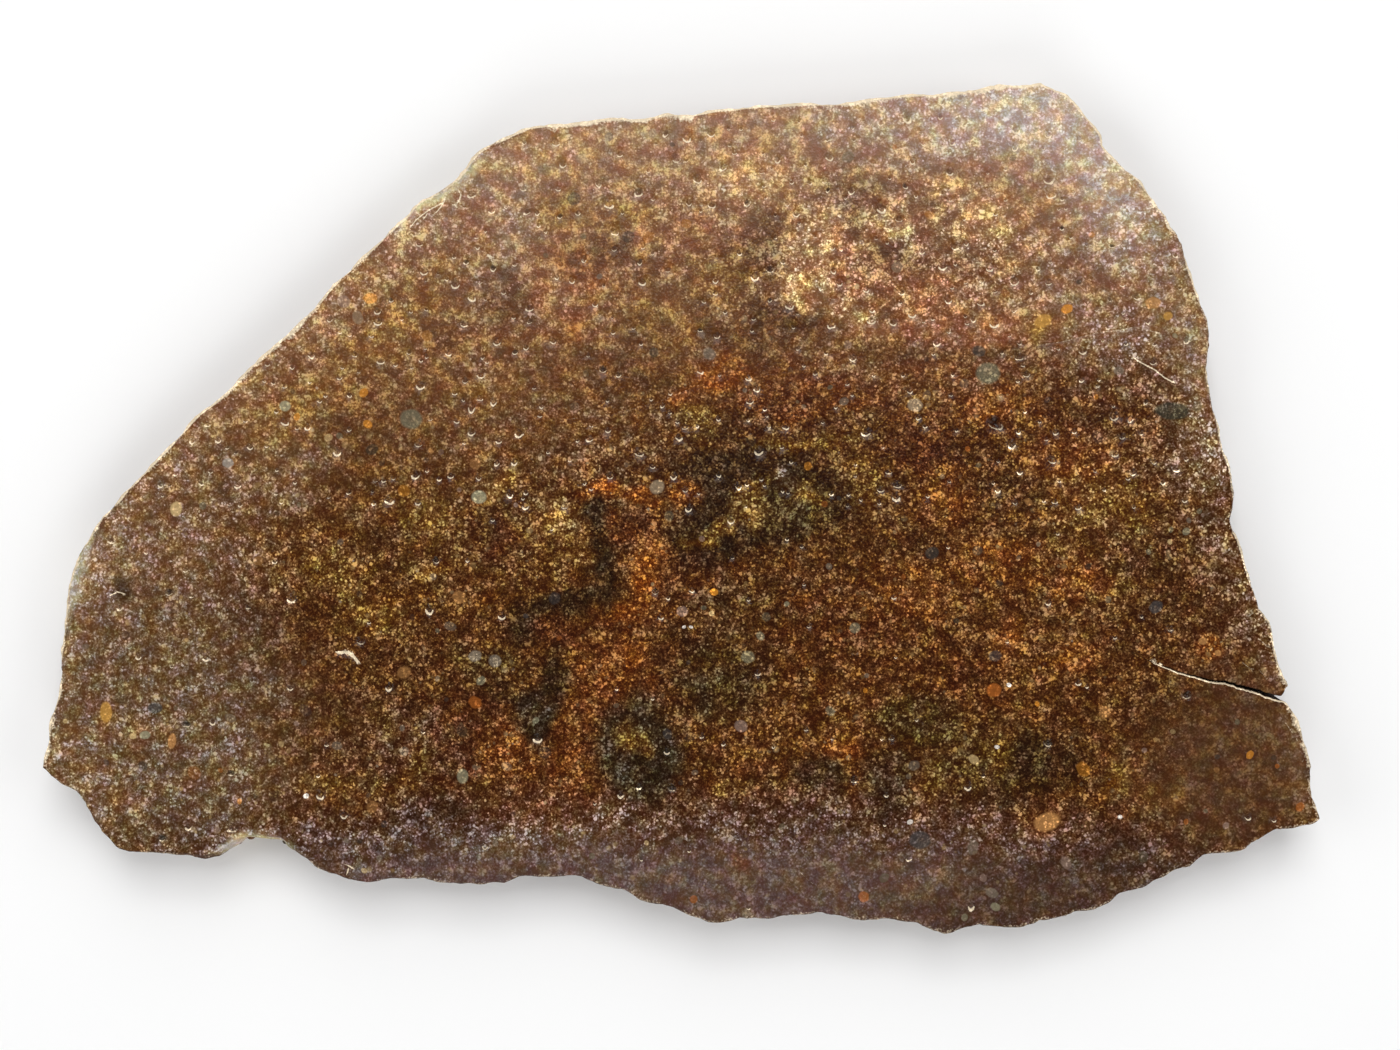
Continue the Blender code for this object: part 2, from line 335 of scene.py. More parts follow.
# Where each colour lies, as patches one over the other: colour, x, y, half length, half width, turn in
# degrees, strength and softness of the border
PATCHES = (
    # Broad washes over the brown ground
    ("tan", 440, 300, 430, 140, 33, 1.0, 0.5),
    ("tan", 880, 260, 400, 130, 0, 1.0, 0.35),
    # The pale band along the top is lighter partly from painted sheen of the lamp on the polish
    ("sand", 760, 120, 400, 90, 3, 0.9, 0.7),
    ("sand", 960, 190, 230, 110, 0, 0.8, 0.6),
    # Painted glare of the lamp on the polish, mostly at the top right
    ("painted glare", 1050, 100, 130, 55, -15, 1.0, 0.8),
    ("painted glare", 1135, 180, 70, 50, -45, 0.75, 0.7),
    ("painted glare", 1120, 285, 60, 80, 0, 0.3, 0.8),
    ("painted glare", 920, 115, 100, 40, 0, 0.35, 0.8),
    ("painted glare", 490, 225, 60, 60, 35, 0.2, 0.8),
    ("dust", 1190, 290, 35, 110, 10, 0.8, 0.8),
    ("dust", 75, 590, 50, 120, -8, 0.9, 0.8),
    ("ash", 160, 730, 130, 140, 0, 0.95, 0.5),
    ("dust", 80, 760, 34, 44, 0, 0.6, 0.7),
    ("bister", 440, 480, 270, 95, 6, 0.85, 0.5),
    ("sand", 395, 240, 100, 26, 44, 0.6, 0.8),
    ("dust", 1200, 400, 32, 120, 6, 0.7, 0.8),
    ("dust", 180, 520, 100, 60, 45, 0.6, 0.8),
    ("dust", 295, 470, 40, 30, 30, 0.4, 0.8),
    ("dust", 225, 600, 50, 40, 0, 0.25, 0.8),
    ("tan", 1110, 490, 60, 80, 0, 0.4, 0.8),
    ("umber", 800, 500, 230, 130, 0, 0.5, 0.9),
    ("umber", 1170, 570, 90, 120, 0, 0.45, 0.8),
    ("plum", 700, 895, 460, 78, 0, 0.9, 0.65),
    ("plum", 460, 862, 190, 32, -3, 0.8, 0.6),
    ("cocoa", 1050, 895, 170, 45, 12, 0.9, 0.6),
    ("dust", 575, 822, 60, 24, 0, 0.35, 0.8),
    ("dust", 925, 880, 30, 24, 0, 0.15, 0.8),
    ("cocoa", 820, 820, 40, 24, 0, 0.4, 0.8),
    ("plum", 190, 830, 40, 30, 0, 0.5, 0.8),
    ("chocolate", 1250, 760, 110, 80, 10, 0.85, 0.5),
    ("chocolate", 1235, 650, 40, 60, 0, 0.5, 0.8),
    # Pale and rosy patches of the upper half
    ("cream", 745, 178, 38, 24, 0, 0.7, 0.5),
    ("cream", 548, 155, 34, 20, 10, 0.55, 0.6),
    ("straw", 560, 215, 26, 16, 0, 0.7, 0.6),
    ("straw", 628, 214, 34, 14, 0, 0.7, 0.6),
    ("rose", 700, 240, 55, 18, 0, 0.5, 0.6),
    ("umber", 775, 232, 14, 26, 20, 0.5, 0.7),
    ("umber", 750, 262, 36, 26, 0, 0.7, 0.7),
    ("umber", 855, 190, 30, 22, 0, 0.45, 0.7),
    ("cream", 818, 262, 24, 48, -8, 0.8, 0.45),
    ("rose", 848, 265, 20, 36, 0, 0.7, 0.5),
    ("cream", 800, 292, 20, 14, -40, 0.7, 0.5),
    ("cream", 858, 322, 34, 12, -28, 0.7, 0.5),
    ("cream", 882, 228, 26, 18, 0, 0.65, 0.5),
    ("umber", 856, 218, 10, 22, 30, 0.6, 0.6),
    ("rose", 915, 285, 50, 30, 0, 0.6, 0.5),
    ("umber", 892, 258, 30, 16, 0, 0.65, 0.7),
    ("umber", 962, 262, 24, 16, 0, 0.4, 0.7),
    ("cream", 990, 220, 30, 24, 0, 0.6, 0.5),
    ("cream", 940, 188, 24, 12, 0, 0.6, 0.5),
    ("rose", 945, 330, 60, 24, 0, 0.75, 0.5),
    ("rose", 1010, 330, 30, 16, 0, 0.6, 0.6),
    ("straw", 1045, 320, 26, 14, 30, 0.8, 0.5),
    ("tan", 1110, 300, 50, 30, 0, 0.7, 0.7),
    ("rust", 1080, 262, 20, 20, 0, 0.4, 0.7),
    ("straw", 450, 262, 50, 18, 30, 0.5, 0.7),
    ("rose", 475, 220, 30, 20, 30, 0.5, 0.7),
    ("rose", 565, 285, 40, 34, 0, 0.5, 0.6),
    ("rust", 575, 262, 22, 18, 0, 0.5, 0.6),
    ("umber", 500, 300, 22, 26, 0, 0.5, 0.7),
    ("umber", 610, 245, 18, 14, 0, 0.5, 0.7),
    ("straw", 662, 322, 38, 26, -20, 0.45, 0.5),
    ("straw", 725, 275, 26, 24, 0, 0.6, 0.6),
    ("umber", 780, 318, 40, 12, -22, 0.8, 0.5),
    ("umber", 745, 340, 46, 18, 0, 0.7, 0.6),
    ("umber", 700, 312, 12, 18, 0, 0.4, 0.7),
    ("ember", 575, 330, 14, 18, 0, 0.5, 0.6),
    ("umber", 640, 385, 26, 18, 0, 0.4, 0.7),
    ("umber", 645, 330, 24, 22, 0, 0.4, 0.7),
    ("brown", 580, 462, 30, 22, 0, 0.6, 0.7),
    ("straw", 500, 388, 30, 12, 10, 0.5, 0.6),
    ("umber", 450, 345, 24, 14, 0, 0.35, 0.7),
    ("straw", 375, 345, 70, 22, 38, 0.55, 0.7),
    ("straw", 285, 420, 60, 22, 40, 0.45, 0.7),
    ("tan", 540, 420, 130, 45, 0, 0.4, 0.8),
    # Red-brown stretch under the pale upper half
    ("ember", 722, 376, 32, 12, 8, 0.8, 0.5),
    ("ember", 685, 392, 16, 8, 20, 0.6, 0.6),
    ("rust", 790, 390, 60, 30, 0, 0.6, 0.6),
    ("brick", 790, 405, 40, 18, 0, 0.5, 0.6),
    ("umber", 930, 352, 90, 10, -2, 0.6, 0.6),
    ("rust", 920, 390, 70, 28, 0, 0.5, 0.7),
    ("gold", 918, 400, 16, 12, 0, 0.7, 0.5),
    ("ember", 1000, 405, 34, 20, 0, 0.45, 0.6),
    ("brown", 1100, 390, 90, 40, 0, 0.5, 0.7),
    ("ash", 1172, 411, 20, 12, 0, 0.5, 0.6),
    ("umber", 730, 440, 40, 26, 0, 0.8, 0.5),
    ("gold", 700, 420, 14, 22, 15, 0.7, 0.5),
    ("gold", 784, 446, 28, 8, 0, 0.95, 0.4),
    ("gold", 838, 440, 30, 9, 12, 0.6, 0.5),
    ("gold", 862, 485, 22, 28, 0, 0.5, 0.6),
    ("ember", 1070, 465, 42, 30, 0, 0.45, 0.7),
    ("brick", 925, 450, 34, 24, 0, 0.8, 0.5),
    ("ember", 945, 500, 26, 28, 0, 0.4, 0.6),
    ("umber", 1010, 490, 34, 22, 0, 0.5, 0.6),
    # The dark ring right of the middle, and its olive and gold core
    ("soot", 765, 505, 84, 44, 8, 0.85, 0.3),
    ("soot", 700, 545, 38, 26, 20, 0.9, 0.35),
    ("soot", 722, 462, 38, 16, 15, 0.8, 0.5),
    ("gold", 752, 504, 18, 22, -15, 0.75, 0.4),
    ("gold", 716, 531, 20, 9, 28, 0.9, 0.4),
    ("gold", 693, 543, 16, 6, 0, 0.8, 0.4),
    ("olive", 795, 505, 32, 24, 0, 0.9, 0.5),
    ("gold", 806, 494, 11, 9, 0, 0.8, 0.4),
    ("ash", 787, 482, 12, 8, 0, 0.5, 0.5),
    # Orange and rust between the dark lobes
    ("ember", 602, 493, 18, 11, -10, 0.9, 0.4),
    ("ember", 638, 497, 22, 8, -18, 0.8, 0.4),
    ("ember", 686, 493, 16, 8, 20, 0.6, 0.5),
    ("brick", 628, 530, 22, 20, 0, 0.8, 0.5),
    ("ember", 650, 575, 16, 34, -5, 0.75, 0.5),
    ("ember", 630, 612, 12, 10, 0, 0.8, 0.5),
    ("rust", 620, 665, 50, 50, 0, 0.55, 0.5),
    ("ember", 632, 655, 12, 12, 0, 0.5, 0.5),
    ("rust", 590, 725, 30, 50, -10, 0.6, 0.6),
    ("brick", 700, 590, 40, 30, 0, 0.5, 0.6),
    # Yellow patches and dark lobes left of the middle
    ("gold", 552, 545, 36, 40, -10, 0.2, 0.5),
    ("straw", 562, 518, 14, 20, 15, 0.4, 0.6),
    ("straw", 585, 562, 22, 8, -25, 0.35, 0.5),
    ("straw", 498, 486, 28, 7, 33, 0.75, 0.4),
    ("soot", 596, 525, 11, 28, -5, 0.9, 0.4),
    ("soot", 606, 572, 12, 30, 5, 0.95, 0.4),
    ("soot", 578, 603, 38, 10, 12, 0.9, 0.4),
    ("soot", 530, 622, 28, 24, 0, 0.85, 0.4),
    ("brick", 556, 634, 26, 14, -10, 0.8, 0.5),
    ("umber", 480, 530, 20, 30, 0, 0.5, 0.6),
    ("brick", 500, 540, 14, 22, 0, 0.6, 0.6),
    ("gold", 425, 515, 24, 20, 0, 0.65, 0.5),
    ("gold", 424, 568, 24, 11, 0, 0.85, 0.4),
    ("umber", 422, 556, 12, 5, 0, 0.7, 0.5),
    ("umber", 385, 540, 24, 22, 0, 0.5, 0.6),
    ("gold", 330, 572, 40, 18, -10, 0.6, 0.6),
    ("gold", 345, 590, 30, 14, -45, 0.5, 0.6),
    ("gold", 372, 618, 38, 16, 0, 0.65, 0.5),
    ("umber", 440, 620, 34, 20, 0, 0.5, 0.6),
    ("umber", 300, 622, 60, 36, 0, 0.5, 0.7),
    ("umber", 400, 690, 70, 30, 0, 0.5, 0.7),
    ("umber", 410, 655, 60, 14, 0, 0.6, 0.6),
    ("olive", 490, 662, 34, 18, 0, 0.8, 0.5),
    ("soot", 500, 695, 34, 12, 0, 0.6, 0.5),
    ("soot", 552, 680, 14, 24, 10, 0.95, 0.4),
    ("charcoal", 534, 718, 24, 30, 0, 0.9, 0.4),
    ("brick", 470, 730, 30, 40, 0, 0.6, 0.6),
    ("ember", 503, 748, 20, 26, 20, 0.45, 0.5),
    ("rust", 560, 780, 40, 28, 0, 0.5, 0.6),
    ("gold", 375, 725, 44, 14, -10, 0.45, 0.6),
    ("gold", 350, 788, 40, 16, 0, 0.4, 0.6),
    ("gold", 413, 775, 11, 34, -35, 0.65, 0.4),
    ("cocoa", 430, 812, 50, 18, 15, 0.8, 0.5),
    ("umber", 330, 720, 60, 40, 0, 0.4, 0.8),
    ("cocoa", 400, 750, 70, 40, 0, 0.4, 0.8),
    # The dark lobe below the middle, with its gold core
    ("charcoal", 640, 752, 50, 52, 0, 0.95, 0.25),
    ("gold", 632, 738, 16, 13, 0, 0.7, 0.5),
    ("gold", 650, 750, 8, 10, 0, 0.5, 0.5),
    ("olive", 722, 680, 34, 40, 0, 0.75, 0.5),
    ("olive", 740, 610, 40, 30, 0, 0.5, 0.6),
    ("charcoal", 700, 700, 16, 22, 0, 0.5, 0.6),
    ("soot", 680, 668, 26, 40, 0, 0.5, 0.6),
    ("soot", 752, 680, 26, 34, 0, 0.5, 0.6),
    ("umber", 716, 612, 40, 28, 0, 0.6, 0.6),
    # Right of the middle
    ("brick", 810, 620, 50, 40, 0, 0.4, 0.7),
    ("brick", 880, 640, 44, 40, 0, 0.5, 0.7),
    ("ember", 912, 590, 40, 26, 0, 0.35, 0.7),
    ("ember", 1000, 560, 40, 24, 0, 0.4, 0.7),
    ("ember", 1010, 632, 12, 24, 0, 0.6, 0.5),
    ("brick", 965, 675, 30, 28, 0, 0.55, 0.6),
    ("ember", 1085, 580, 24, 20, 0, 0.5, 0.6),
    ("gold", 1134, 520, 12, 16, 0, 0.8, 0.5),
    ("gold", 1100, 505, 60, 40, 0, 0.4, 0.8),
    ("umber", 1150, 575, 34, 50, 0, 0.7, 0.6),
    ("gold", 1120, 590, 14, 14, 0, 0.4, 0.6),
    ("ember", 1078, 655, 26, 12, 15, 0.4, 0.6),
    ("ember", 1205, 645, 14, 12, 0, 0.6, 0.5),
    ("umber", 1170, 695, 44, 26, 0, 0.6, 0.6),
    # Olive and dark patches low on the right
    ("olive", 915, 720, 34, 26, 0, 0.85, 0.4),
    ("olive", 975, 755, 60, 34, 0, 0.7, 0.5),
    ("soot", 1045, 762, 44, 30, 0, 0.75, 0.5),
    ("charcoal", 890, 785, 26, 34, 0, 0.7, 0.5),
    ("charcoal", 990, 800, 50, 14, 0, 0.4, 0.6),
    ("gold", 935, 775, 9, 22, 0, 0.5, 0.5),
    ("gold", 995, 748, 16, 18, 0, 0.4, 0.5),
    ("charcoal", 820, 772, 30, 20, 0, 0.7, 0.5),
    ("ember", 838, 748, 18, 8, 0, 0.6, 0.5),
    ("gold", 728, 787, 11, 9, 0, 0.6, 0.5),
    ("ember", 1045, 822, 20, 16, 0, 0.3, 0.5),
    ("gold", 1160, 797, 26, 14, 10, 0.3, 0.5),
    ("gold", 1120, 780, 12, 16, 0, 0.5, 0.5),
    ("umber", 1100, 720, 60, 24, 0, 0.4, 0.7),
    # Rosy specks in the hazy bottom band, and pale patches low on the left
    ("rust", 540, 815, 44, 12, -5, 0.5, 0.6),
    ("rust", 740, 868, 16, 9, -30, 0.6, 0.6),
    ("ash", 505, 845, 20, 14, 0, 0.6, 0.6),
    ("charcoal", 122, 589, 15, 12, 0, 0.75, 0.5),
    ("tan", 120, 795, 16, 12, 0, 0.6, 0.6),
    ("tan", 107, 710, 14, 12, 0, 0.7, 0.6),
    ("tan", 142, 734, 22, 9, 0, 0.6, 0.6),
    ("cocoa", 250, 660, 26, 60, 10, 0.25, 0.8),
    ("cocoa", 190, 600, 60, 26, 0, 0.2, 0.8),
)

# How strongly the grains stand out from the colour under them, 1 in the middle of the face and less where the
# face is hazy, which along the top is partly a painted sheen of the lamp on the polish: strength, x, y, half
# length, half width, turn and softness
CONTRASTS = (
    (0.62, 520, 290, 560, 150, 20, 0.5),
    (0.60, 900, 240, 420, 130, 0, 0.5),
    (0.76, 880, 270, 150, 70, 5, 0.5),
    (0.52, 540, 190, 120, 70, 35, 0.6),
    (0.46, 780, 110, 420, 55, 3, 0.8),
    (0.38, 1080, 130, 150, 90, -25, 0.7),
    (0.60, 1190, 290, 40, 120, 10, 0.8),
    (0.70, 110, 640, 110, 190, -8, 0.5),
    (0.75, 210, 720, 130, 120, 0, 0.5),
    (0.48, 720, 900, 480, 58, 0, 0.5),
    (0.50, 1250, 760, 110, 90, 10, 0.5),
)

# Where the grains gather in broader flecks of light and dark, written in the same way
FLECKS = (
    (1.0, 560, 240, 520, 130, 24, 0.5),
    (1.0, 830, 230, 340, 130, 0, 0.5),
    (0.6, 720, 900, 480, 58, 0, 0.5),
    (0.6, 1250, 760, 110, 90, 10, 0.5),
)


def linear(colour):
    """A colour in 0 to 255 as the eye grades it, in the linear values that light adds up in."""
    shares = (c / 255 for c in colour)
    return tuple(c / 12.92 if c <= 0.04045 else ((c + 0.055) / 1.055) ** 2.4 for c in shares)


def clamp(value):
    return max(0.0, min(1.0, value))


def from_crack(place):
    """How far a place is from the middle of the crack, which leans towards the back as it goes down."""
    lean = CRACK_LEAN * (FACE_Z - place.z) / (FACE_Z - stone_low.z)
    spot = Vector((place.x, place.y - lean))
    offsets = []
    for a, b in zip(crack, crack[1:]):
        along = b - a
        share = clamp((spot - a).dot(along) / along.length_squared)
        offsets.append(spot - a - along * share)
    return min(offsets, key=lambda offset: offset.length)


def in_crack(place, reach):
    return from_crack(place).length < reach


def is_face(f):
    return f.normal.z > FLAT_NORMAL and min(v.co.z for v in f.verts) > FACE_Z - FLAT_DEPTH


def is_back(f):
    return f.normal.z < -FLAT_NORMAL and max(v.co.z for v in f.verts) < stone_low.z + FLAT_DEPTH


def islands(bm):
    """The separate stretches of surface, largest first, and in the same order in each run."""
    left = dict.fromkeys(bm.faces)
    found = []
    while left:
        reached = [next(iter(left))]
        del left[reached[0]]
        island = list(reached)
        while reached:
            for edge in reached.pop().edges:
                for f in edge.link_faces:
                    if f in left:
                        del left[f]
                        reached.append(f)
                        island.append(f)
        found.append(island)
    return sorted(found, key=len, reverse=True)


def open_edge(bm, z):
    """The vertices round the opening at one height, in order."""
    ahead = {}
    for e in bm.edges:
        if e.is_boundary and all(abs(v.co.z - z) < FLAT_DEPTH for v in e.verts):
            for v in e.verts:
                ahead.setdefault(v, []).append(e.other_vert(v))
    start = next(iter(ahead))
    loop = [start]
    before, here = start, ahead[start][0]
    while here is not start:
        loop.append(here)
        before, here = here, next(v for v in ahead[here] if v is not before)
    return loop


def relief(place, layers):
    return sum(height * noise.noise(place / size) for size, height in layers)


bm = bmesh.new()
bm.from_mesh(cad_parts["meteorite_slice"].data)
bmesh.ops.remove_doubles(bm, verts=bm.verts, dist=WELD)
bm.normal_update()
flat_faces = [f for f in bm.faces if is_face(f) or is_back(f)]
bmesh.ops.delete(bm, geom=flat_faces, context="FACES")
bowls = islands(bm)[1:]  # the largest is the wall

# The solid's own pits, which are made again with more faces: x, y, half length, half width and turn
pits = []
for bowl in bowls:
    corners = dict.fromkeys(v for f in bowl for v in f.verts if v.co.z > FACE_Z - FLAT_DEPTH)
    spots = [v.co.to_2d() for v in corners]
    middle = sum(spots, Vector((0, 0))) / len(spots)
    longest = max((s - middle for s in spots), key=lambda s: s.length)
    half_width = min((s - middle).length for s in spots)
    pits.append((middle.x, middle.y, longest.length, half_width, math.atan2(longest.y, longest.x)))
bmesh.ops.delete(bm, geom=[f for bowl in bowls for f in bowl], context="FACES")
lone = [v for v in bm.verts if not v.link_faces]
bmesh.ops.delete(bm, geom=lone, context="VERTS")

# The wall gets its finer relief
bmesh.ops.subdivide_edges(bm, edges=bm.edges[:], cuts=WALL_CUTS, use_grid_fill=True)
bm.normal_update()
crack = [plan(x, y) for x, y in CRACK]
for depth in CRACK_LAYERS:
    faces = [f for f in bm.faces if all(in_crack(v.co, CRACK_REACH) for v in f.verts)]
    edges = list(dict.fromkeys(e for f in faces for e in f.edges))
    corners = list(dict.fromkeys(v for f in faces for v in f.verts))
    level = Vector((0, 0, FACE_Z - depth))
    bmesh.ops.bisect_plane(bm, geom=faces + edges + corners, plane_co=level, plane_no=(0, 0, 1))
lengthwise = []
for e in bm.edges:
    level_run = abs(e.verts[0].co.z - e.verts[1].co.z) < CRACK_SLOPE * e.calc_length()
    if level_run and all(in_crack(v.co, CRACK_REACH) for v in e.verts):
        lengthwise.append(e)
bmesh.ops.subdivide_edges(bm, edges=lengthwise, cuts=CRACK_CUTS, use_grid_fill=True)
bm.normal_update()
inner_end, full_width_x = plan(*CRACK[-1]).x, plan(CRACK_FULL_FROM, 0).x
moves = {}
for v in bm.verts:
    if in_crack(v.co, CRACK_REACH):
        # Both lips go the same way, and towards the inner end they close up
        outwards = clamp((v.co.x - inner_end) / (full_width_x - inner_end))
        kept = CRACK_INNER_SHARE + (1 - CRACK_INNER_SHARE) * outwards
        waver = relief(Vector((v.co.x, 0, 0)), CRACK_WAVER)
        moves[v] = (from_crack(v.co) * (kept - 1)).to_3d() + Vector((0, waver, 0))
        continue
    outward = Vector((v.normal.x, v.normal.y, 0)).normalized()
    if v.is_boundary:
        room = min(e.calc_length() for e in v.link_edges) / TIGHT_EDGE
        moves[v] = outward * min(1.0, room * room) * (relief(v.co, EDGE_RAGGEDNESS) - EDGE_RETREAT)
    else:
        moves[v] = v.normal * relief(v.co, WALL_RELIEF)
for v, move in moves.items():
    v.co += move
    if not v.is_boundary:
        v.co.z = min(max(v.co.z, stone_low.z + FLAT_DEPTH), FACE_Z - FLAT_DEPTH)

rim = open_edge(bm, FACE_Z)
back_rim = open_edge(bm, stone_low.z)


class Near:
    """Remembers circles on the face, so that nothing is set down twice in one place."""

    def __init__(self):
        self.cell = NEAR_CELL
        self.held = {}

    def span(self, middle, reach):
        return range(math.floor((middle - reach) / self.cell), math.floor((middle + reach) / self.cell) + 1)

    def cells(self, x, y, reach):
        return [(i, j) for i in self.span(x, reach) for j in self.span(y, reach)]

    def add(self, x, y, reach):
        for cell in self.cells(x, y, reach):
            self.held.setdefault(cell, []).append((x, y, reach))

    def free(self, x, y, reach):
        for cell in self.cells(x, y, reach):
            for other_x, other_y, other_reach in self.held.get(cell, ()):
                if math.hypot(x - other_x, y - other_y) < reach + other_reach:
                    return False
        return True


def inside(spots, loop):
    """Which of the spots lie within the loop, as an array of yes and no."""
    x, y = spots[:, 0], spots[:, 1]
    within = np.zeros(len(spots), bool)
    corners = [(v.co.x, v.co.y) for v in loop]
    for (ax, ay), (bx, by) in zip(corners, corners[1:] + corners[:1]):
        if ay != by:
            within ^= ((ay > y) != (by > y)) & (x < ax + (y - ay) * (bx - ax) / (by - ay))
    return within


class Spot:
    """A point of the flat face: how deep it lies, its pale bruise and painted highlight, its painted shade,
    and the grain that it is in.
    """

    def __init__(self, x, y, depth=0.0, bruise=0.0, dark=0.0, grain=None, grain_share=0.0):
        self.x, self.y, self.depth = x, y, depth
        self.bruise, self.dark = bruise, dark
        self.grain, self.grain_share = grain, grain_share


chance = random.Random(7)
taken = Near()
spots = []
for v in rim:
    if not in_crack(v.co, CRACK_REACH):
        taken.add(v.co.x, v.co.y, RIM_CLEARANCE)
        continue
    # Close to the crack there is a row of points, so that the painted highlight on its lip stays as fine as
    # it is
    taken.add(v.co.x, v.co.y, LIP_CLEARANCE)
    away = from_crack(v.co).normalized() * (LIP_CLEARANCE * 1.2)
    x, y = v.co.x + away.x, v.co.y + away.y
    if taken.free(x, y, 0):
        spots.append(Spot(x, y))
        taken.add(x, y, LIP_CLEARANCE)


def claim(x, y, reach, clearance):
    """Takes a circle of the face, unless something lies there already."""
    if not taken.free(x, y, reach):
        return False
    taken.add(x, y, reach + clearance)
    return True


def random_lobes(kinds):
    """How many lobes an oval has, how far they stand out and where they start, for each kind."""
    return [(count, chance.uniform(0, most), chance.uniform(0, 6)) for count, most in kinds]


def sides_for(half_length, step, limits):
    return max(limits[0], min(limits[1], round(2 * math.pi * half_length / step)))


def oval(x, y, half_length, half_width, turn, share, sides, lobes):
    """Points round a slightly uneven oval, each with its direction from the middle."""
    for k in range(sides):
        a = 2 * math.pi * k / sides
        uneven = 1 + sum(size * math.cos(count * a + start) for count, size, start in lobes)
        along = half_length * share * uneven * math.cos(a)
        across = half_width * share * uneven * math.sin(a)
        dx = along * math.cos(turn) - across * math.sin(turn)
        dy = along * math.sin(turn) + across * math.cos(turn)
        yield x + dx, y + dy, math.atan2(dy, dx)


def add_pit(x, y, half_length, half_width, turn, bright, painted_pit_shade=1.0):
    """A pit with painted shade inside and a painted highlight on its lip, on the side towards the picture's
    bottom.
    """
    if not claim(x, y, half_length * PIT_RINGS[0][0], PIT_CLEARANCE):
        return False
    lobes = random_lobes(PIT_LOBES)
    sides = sides_for(half_length, PIT_STEP, PIT_SIDES)
    depth = PIT_DEPTH * half_width
    for share, fall, paleness in PIT_RINGS:
        for px, py, direction in oval(x, y, half_length, half_width, turn, share, sides, lobes):
            # The lip gets a painted highlight on the side towards the picture's bottom, and the pit painted
            # shade that deepens inwards and is lighter on that side
            lip = paleness * clamp(0.2 - 1.2 * math.sin(direction))
            painted_ring_shade = painted_pit_shade * min(1.0, 2.5 * fall) * (0.75 + 0.25 * math.sin(direction))
            spots.append(Spot(px, py, depth * fall, bruise=bright * lip, dark=painted_ring_shade))
    spots.append(Spot(x, y, depth, dark=painted_pit_shade))
    return True


def add_grain(colour, x, y, half_length, half_width, turn, grain_share):
    if not claim(x, y, half_length * GRAIN_RINGS[0][0], GRAIN_CLEARANCE):
        return False
    lobes = random_lobes(GRAIN_LOBES)
    sides = sides_for(half_length, GRAIN_STEP, GRAIN_SIDES)
    for share, within in GRAIN_RINGS:
        for px, py, _ in oval(x, y, half_length, half_width, turn, share, sides, lobes):
            spots.append(Spot(px, py, grain=colour, grain_share=within * grain_share))
    spots.append(Spot(x, y, grain=colour, grain_share=grain_share * GRAIN_MIDDLE_SHARE))
    return True


for x, y, half_length, half_width, turn in pits:
    add_pit(x, y, half_length, half_width, turn, SOLID_PIT_HIGHLIGHT)
for x, y, width in PITS:
    add_pit(*plan(x, y), width * PIXEL * 0.5, width * PIXEL * 0.4, chance.uniform(0, 3), 1.0)

for width, depth, pale, line in SCRATCHES:
    course = [plan(x, y) for x, y in line]
    half_width = width * PIXEL / 2
    for a, b in zip(course, course[1:]):
        steps = max(1, round((b - a).length / (SCRATCH_STEP * half_width)))
        across = Vector((a.y - b.y, b.x - a.x)).normalized()
        for k in range(steps):
            middle = a.lerp(b, k / steps)
            if not taken.free(*middle, half_width * SCRATCH_NEEDS):
                continue
            spots.append(Spot(*middle, depth=half_width * depth, bruise=pale))
            for side in (-1, 1):
                lip = middle + across * half_width * side
                spots.append(Spot(*lip, bruise=pale * SCRATCH_LIP_BRUISE))
    for a, b in zip(course, course[1:]):
        for k in range(12):
            taken.add(*a.lerp(b, k / 12), half_width * SCRATCH_TAKES)

for colour, x, y, length, width, turn in GRAINS:
    half_length, half_width = length * PIXEL / 2, width * PIXEL / 2
    add_grain(colour, *plan(x, y), half_length, half_width, math.radians(turn), GRAIN_SHARE)


def scatter(count, widths, place):
    """Sets down a number of small things of random width inside the outline."""
    tried = []
    while len(tried) < count * 4:
        x = chance.uniform(stone_low.x, stone_high.x)
        y = chance.uniform(stone_low.y, stone_high.y)
        width = widths[0] + (widths[1] - widths[0]) * chance.random() ** 2.2  # most are narrow
        tried.append((x, y, width * PIXEL / 2))
    kept = [t for t, ok in zip(tried, inside(np.array(tried)[:, :2], rim)) if ok]
    set_down = 0
    for x, y, half_width in kept:
        if set_down < count and place(x, y, half_width):
            set_down += 1


def place_small_pit(x, y, half_width):
    if chance.random() > (UPPER_HALF_SHARE if y > 0 else 1 - UPPER_HALF_SHARE):
        return False
    longer = half_width * chance.uniform(1.0, 1.35)
    # How strong the painted highlight on the lip and the painted shade inside are
    bright, painted_pit_shade = chance.uniform(0.6, 1.3), chance.uniform(0.0, 0.35)
    return add_pit(x, y, longer, half_width, chance.uniform(0, 3), bright, painted_pit_shade)


def place_small_grain(x, y, half_width):
    colour = chance.choice(SMALL_GRAIN_COLOURS)
    longer = half_width * chance.uniform(1.0, 1.3)
    share = chance.uniform(0.2, 0.6)
    return add_grain(colour, x, y, longer, half_width, chance.uniform(0, 3), share)


scatter(SMALL_GRAINS, SMALL_GRAIN_WIDTHS, place_small_grain)
scatter(SMALL_PITS, SMALL_PIT_WIDTHS, place_small_pit)


def field(spacing, loop):
    """Spots all over the inside of the loop, about one spacing apart, in rows that are shaken up."""
    rows = []
    for j in range(math.ceil((stone_high.y - stone_low.y) / (spacing * ROW_HEIGHT))):
        for i in range(math.ceil((stone_high.x - stone_low.x) / spacing)):
            x = stone_low.x + spacing * (i + 0.5 * (j % 2) + chance.uniform(-SHAKE, SHAKE))
            y = stone_low.y + spacing * (ROW_HEIGHT * j + chance.uniform(-SHAKE, SHAKE))
            rows.append((x, y))
    rows = np.array(rows)
    return rows[inside(rows, loop)]


for x, y in field(FACE_SPACING, rim):
    if taken.free(x, y, FACE_CLEARANCE):
        spots.append(Spot(x, y))

# A scratch near the rim ends where the face does
on_the_face = inside(np.array([(s.x, s.y) for s in spots]), rim)
spots = [s for s, kept in zip(spots, on_the_face) if kept]


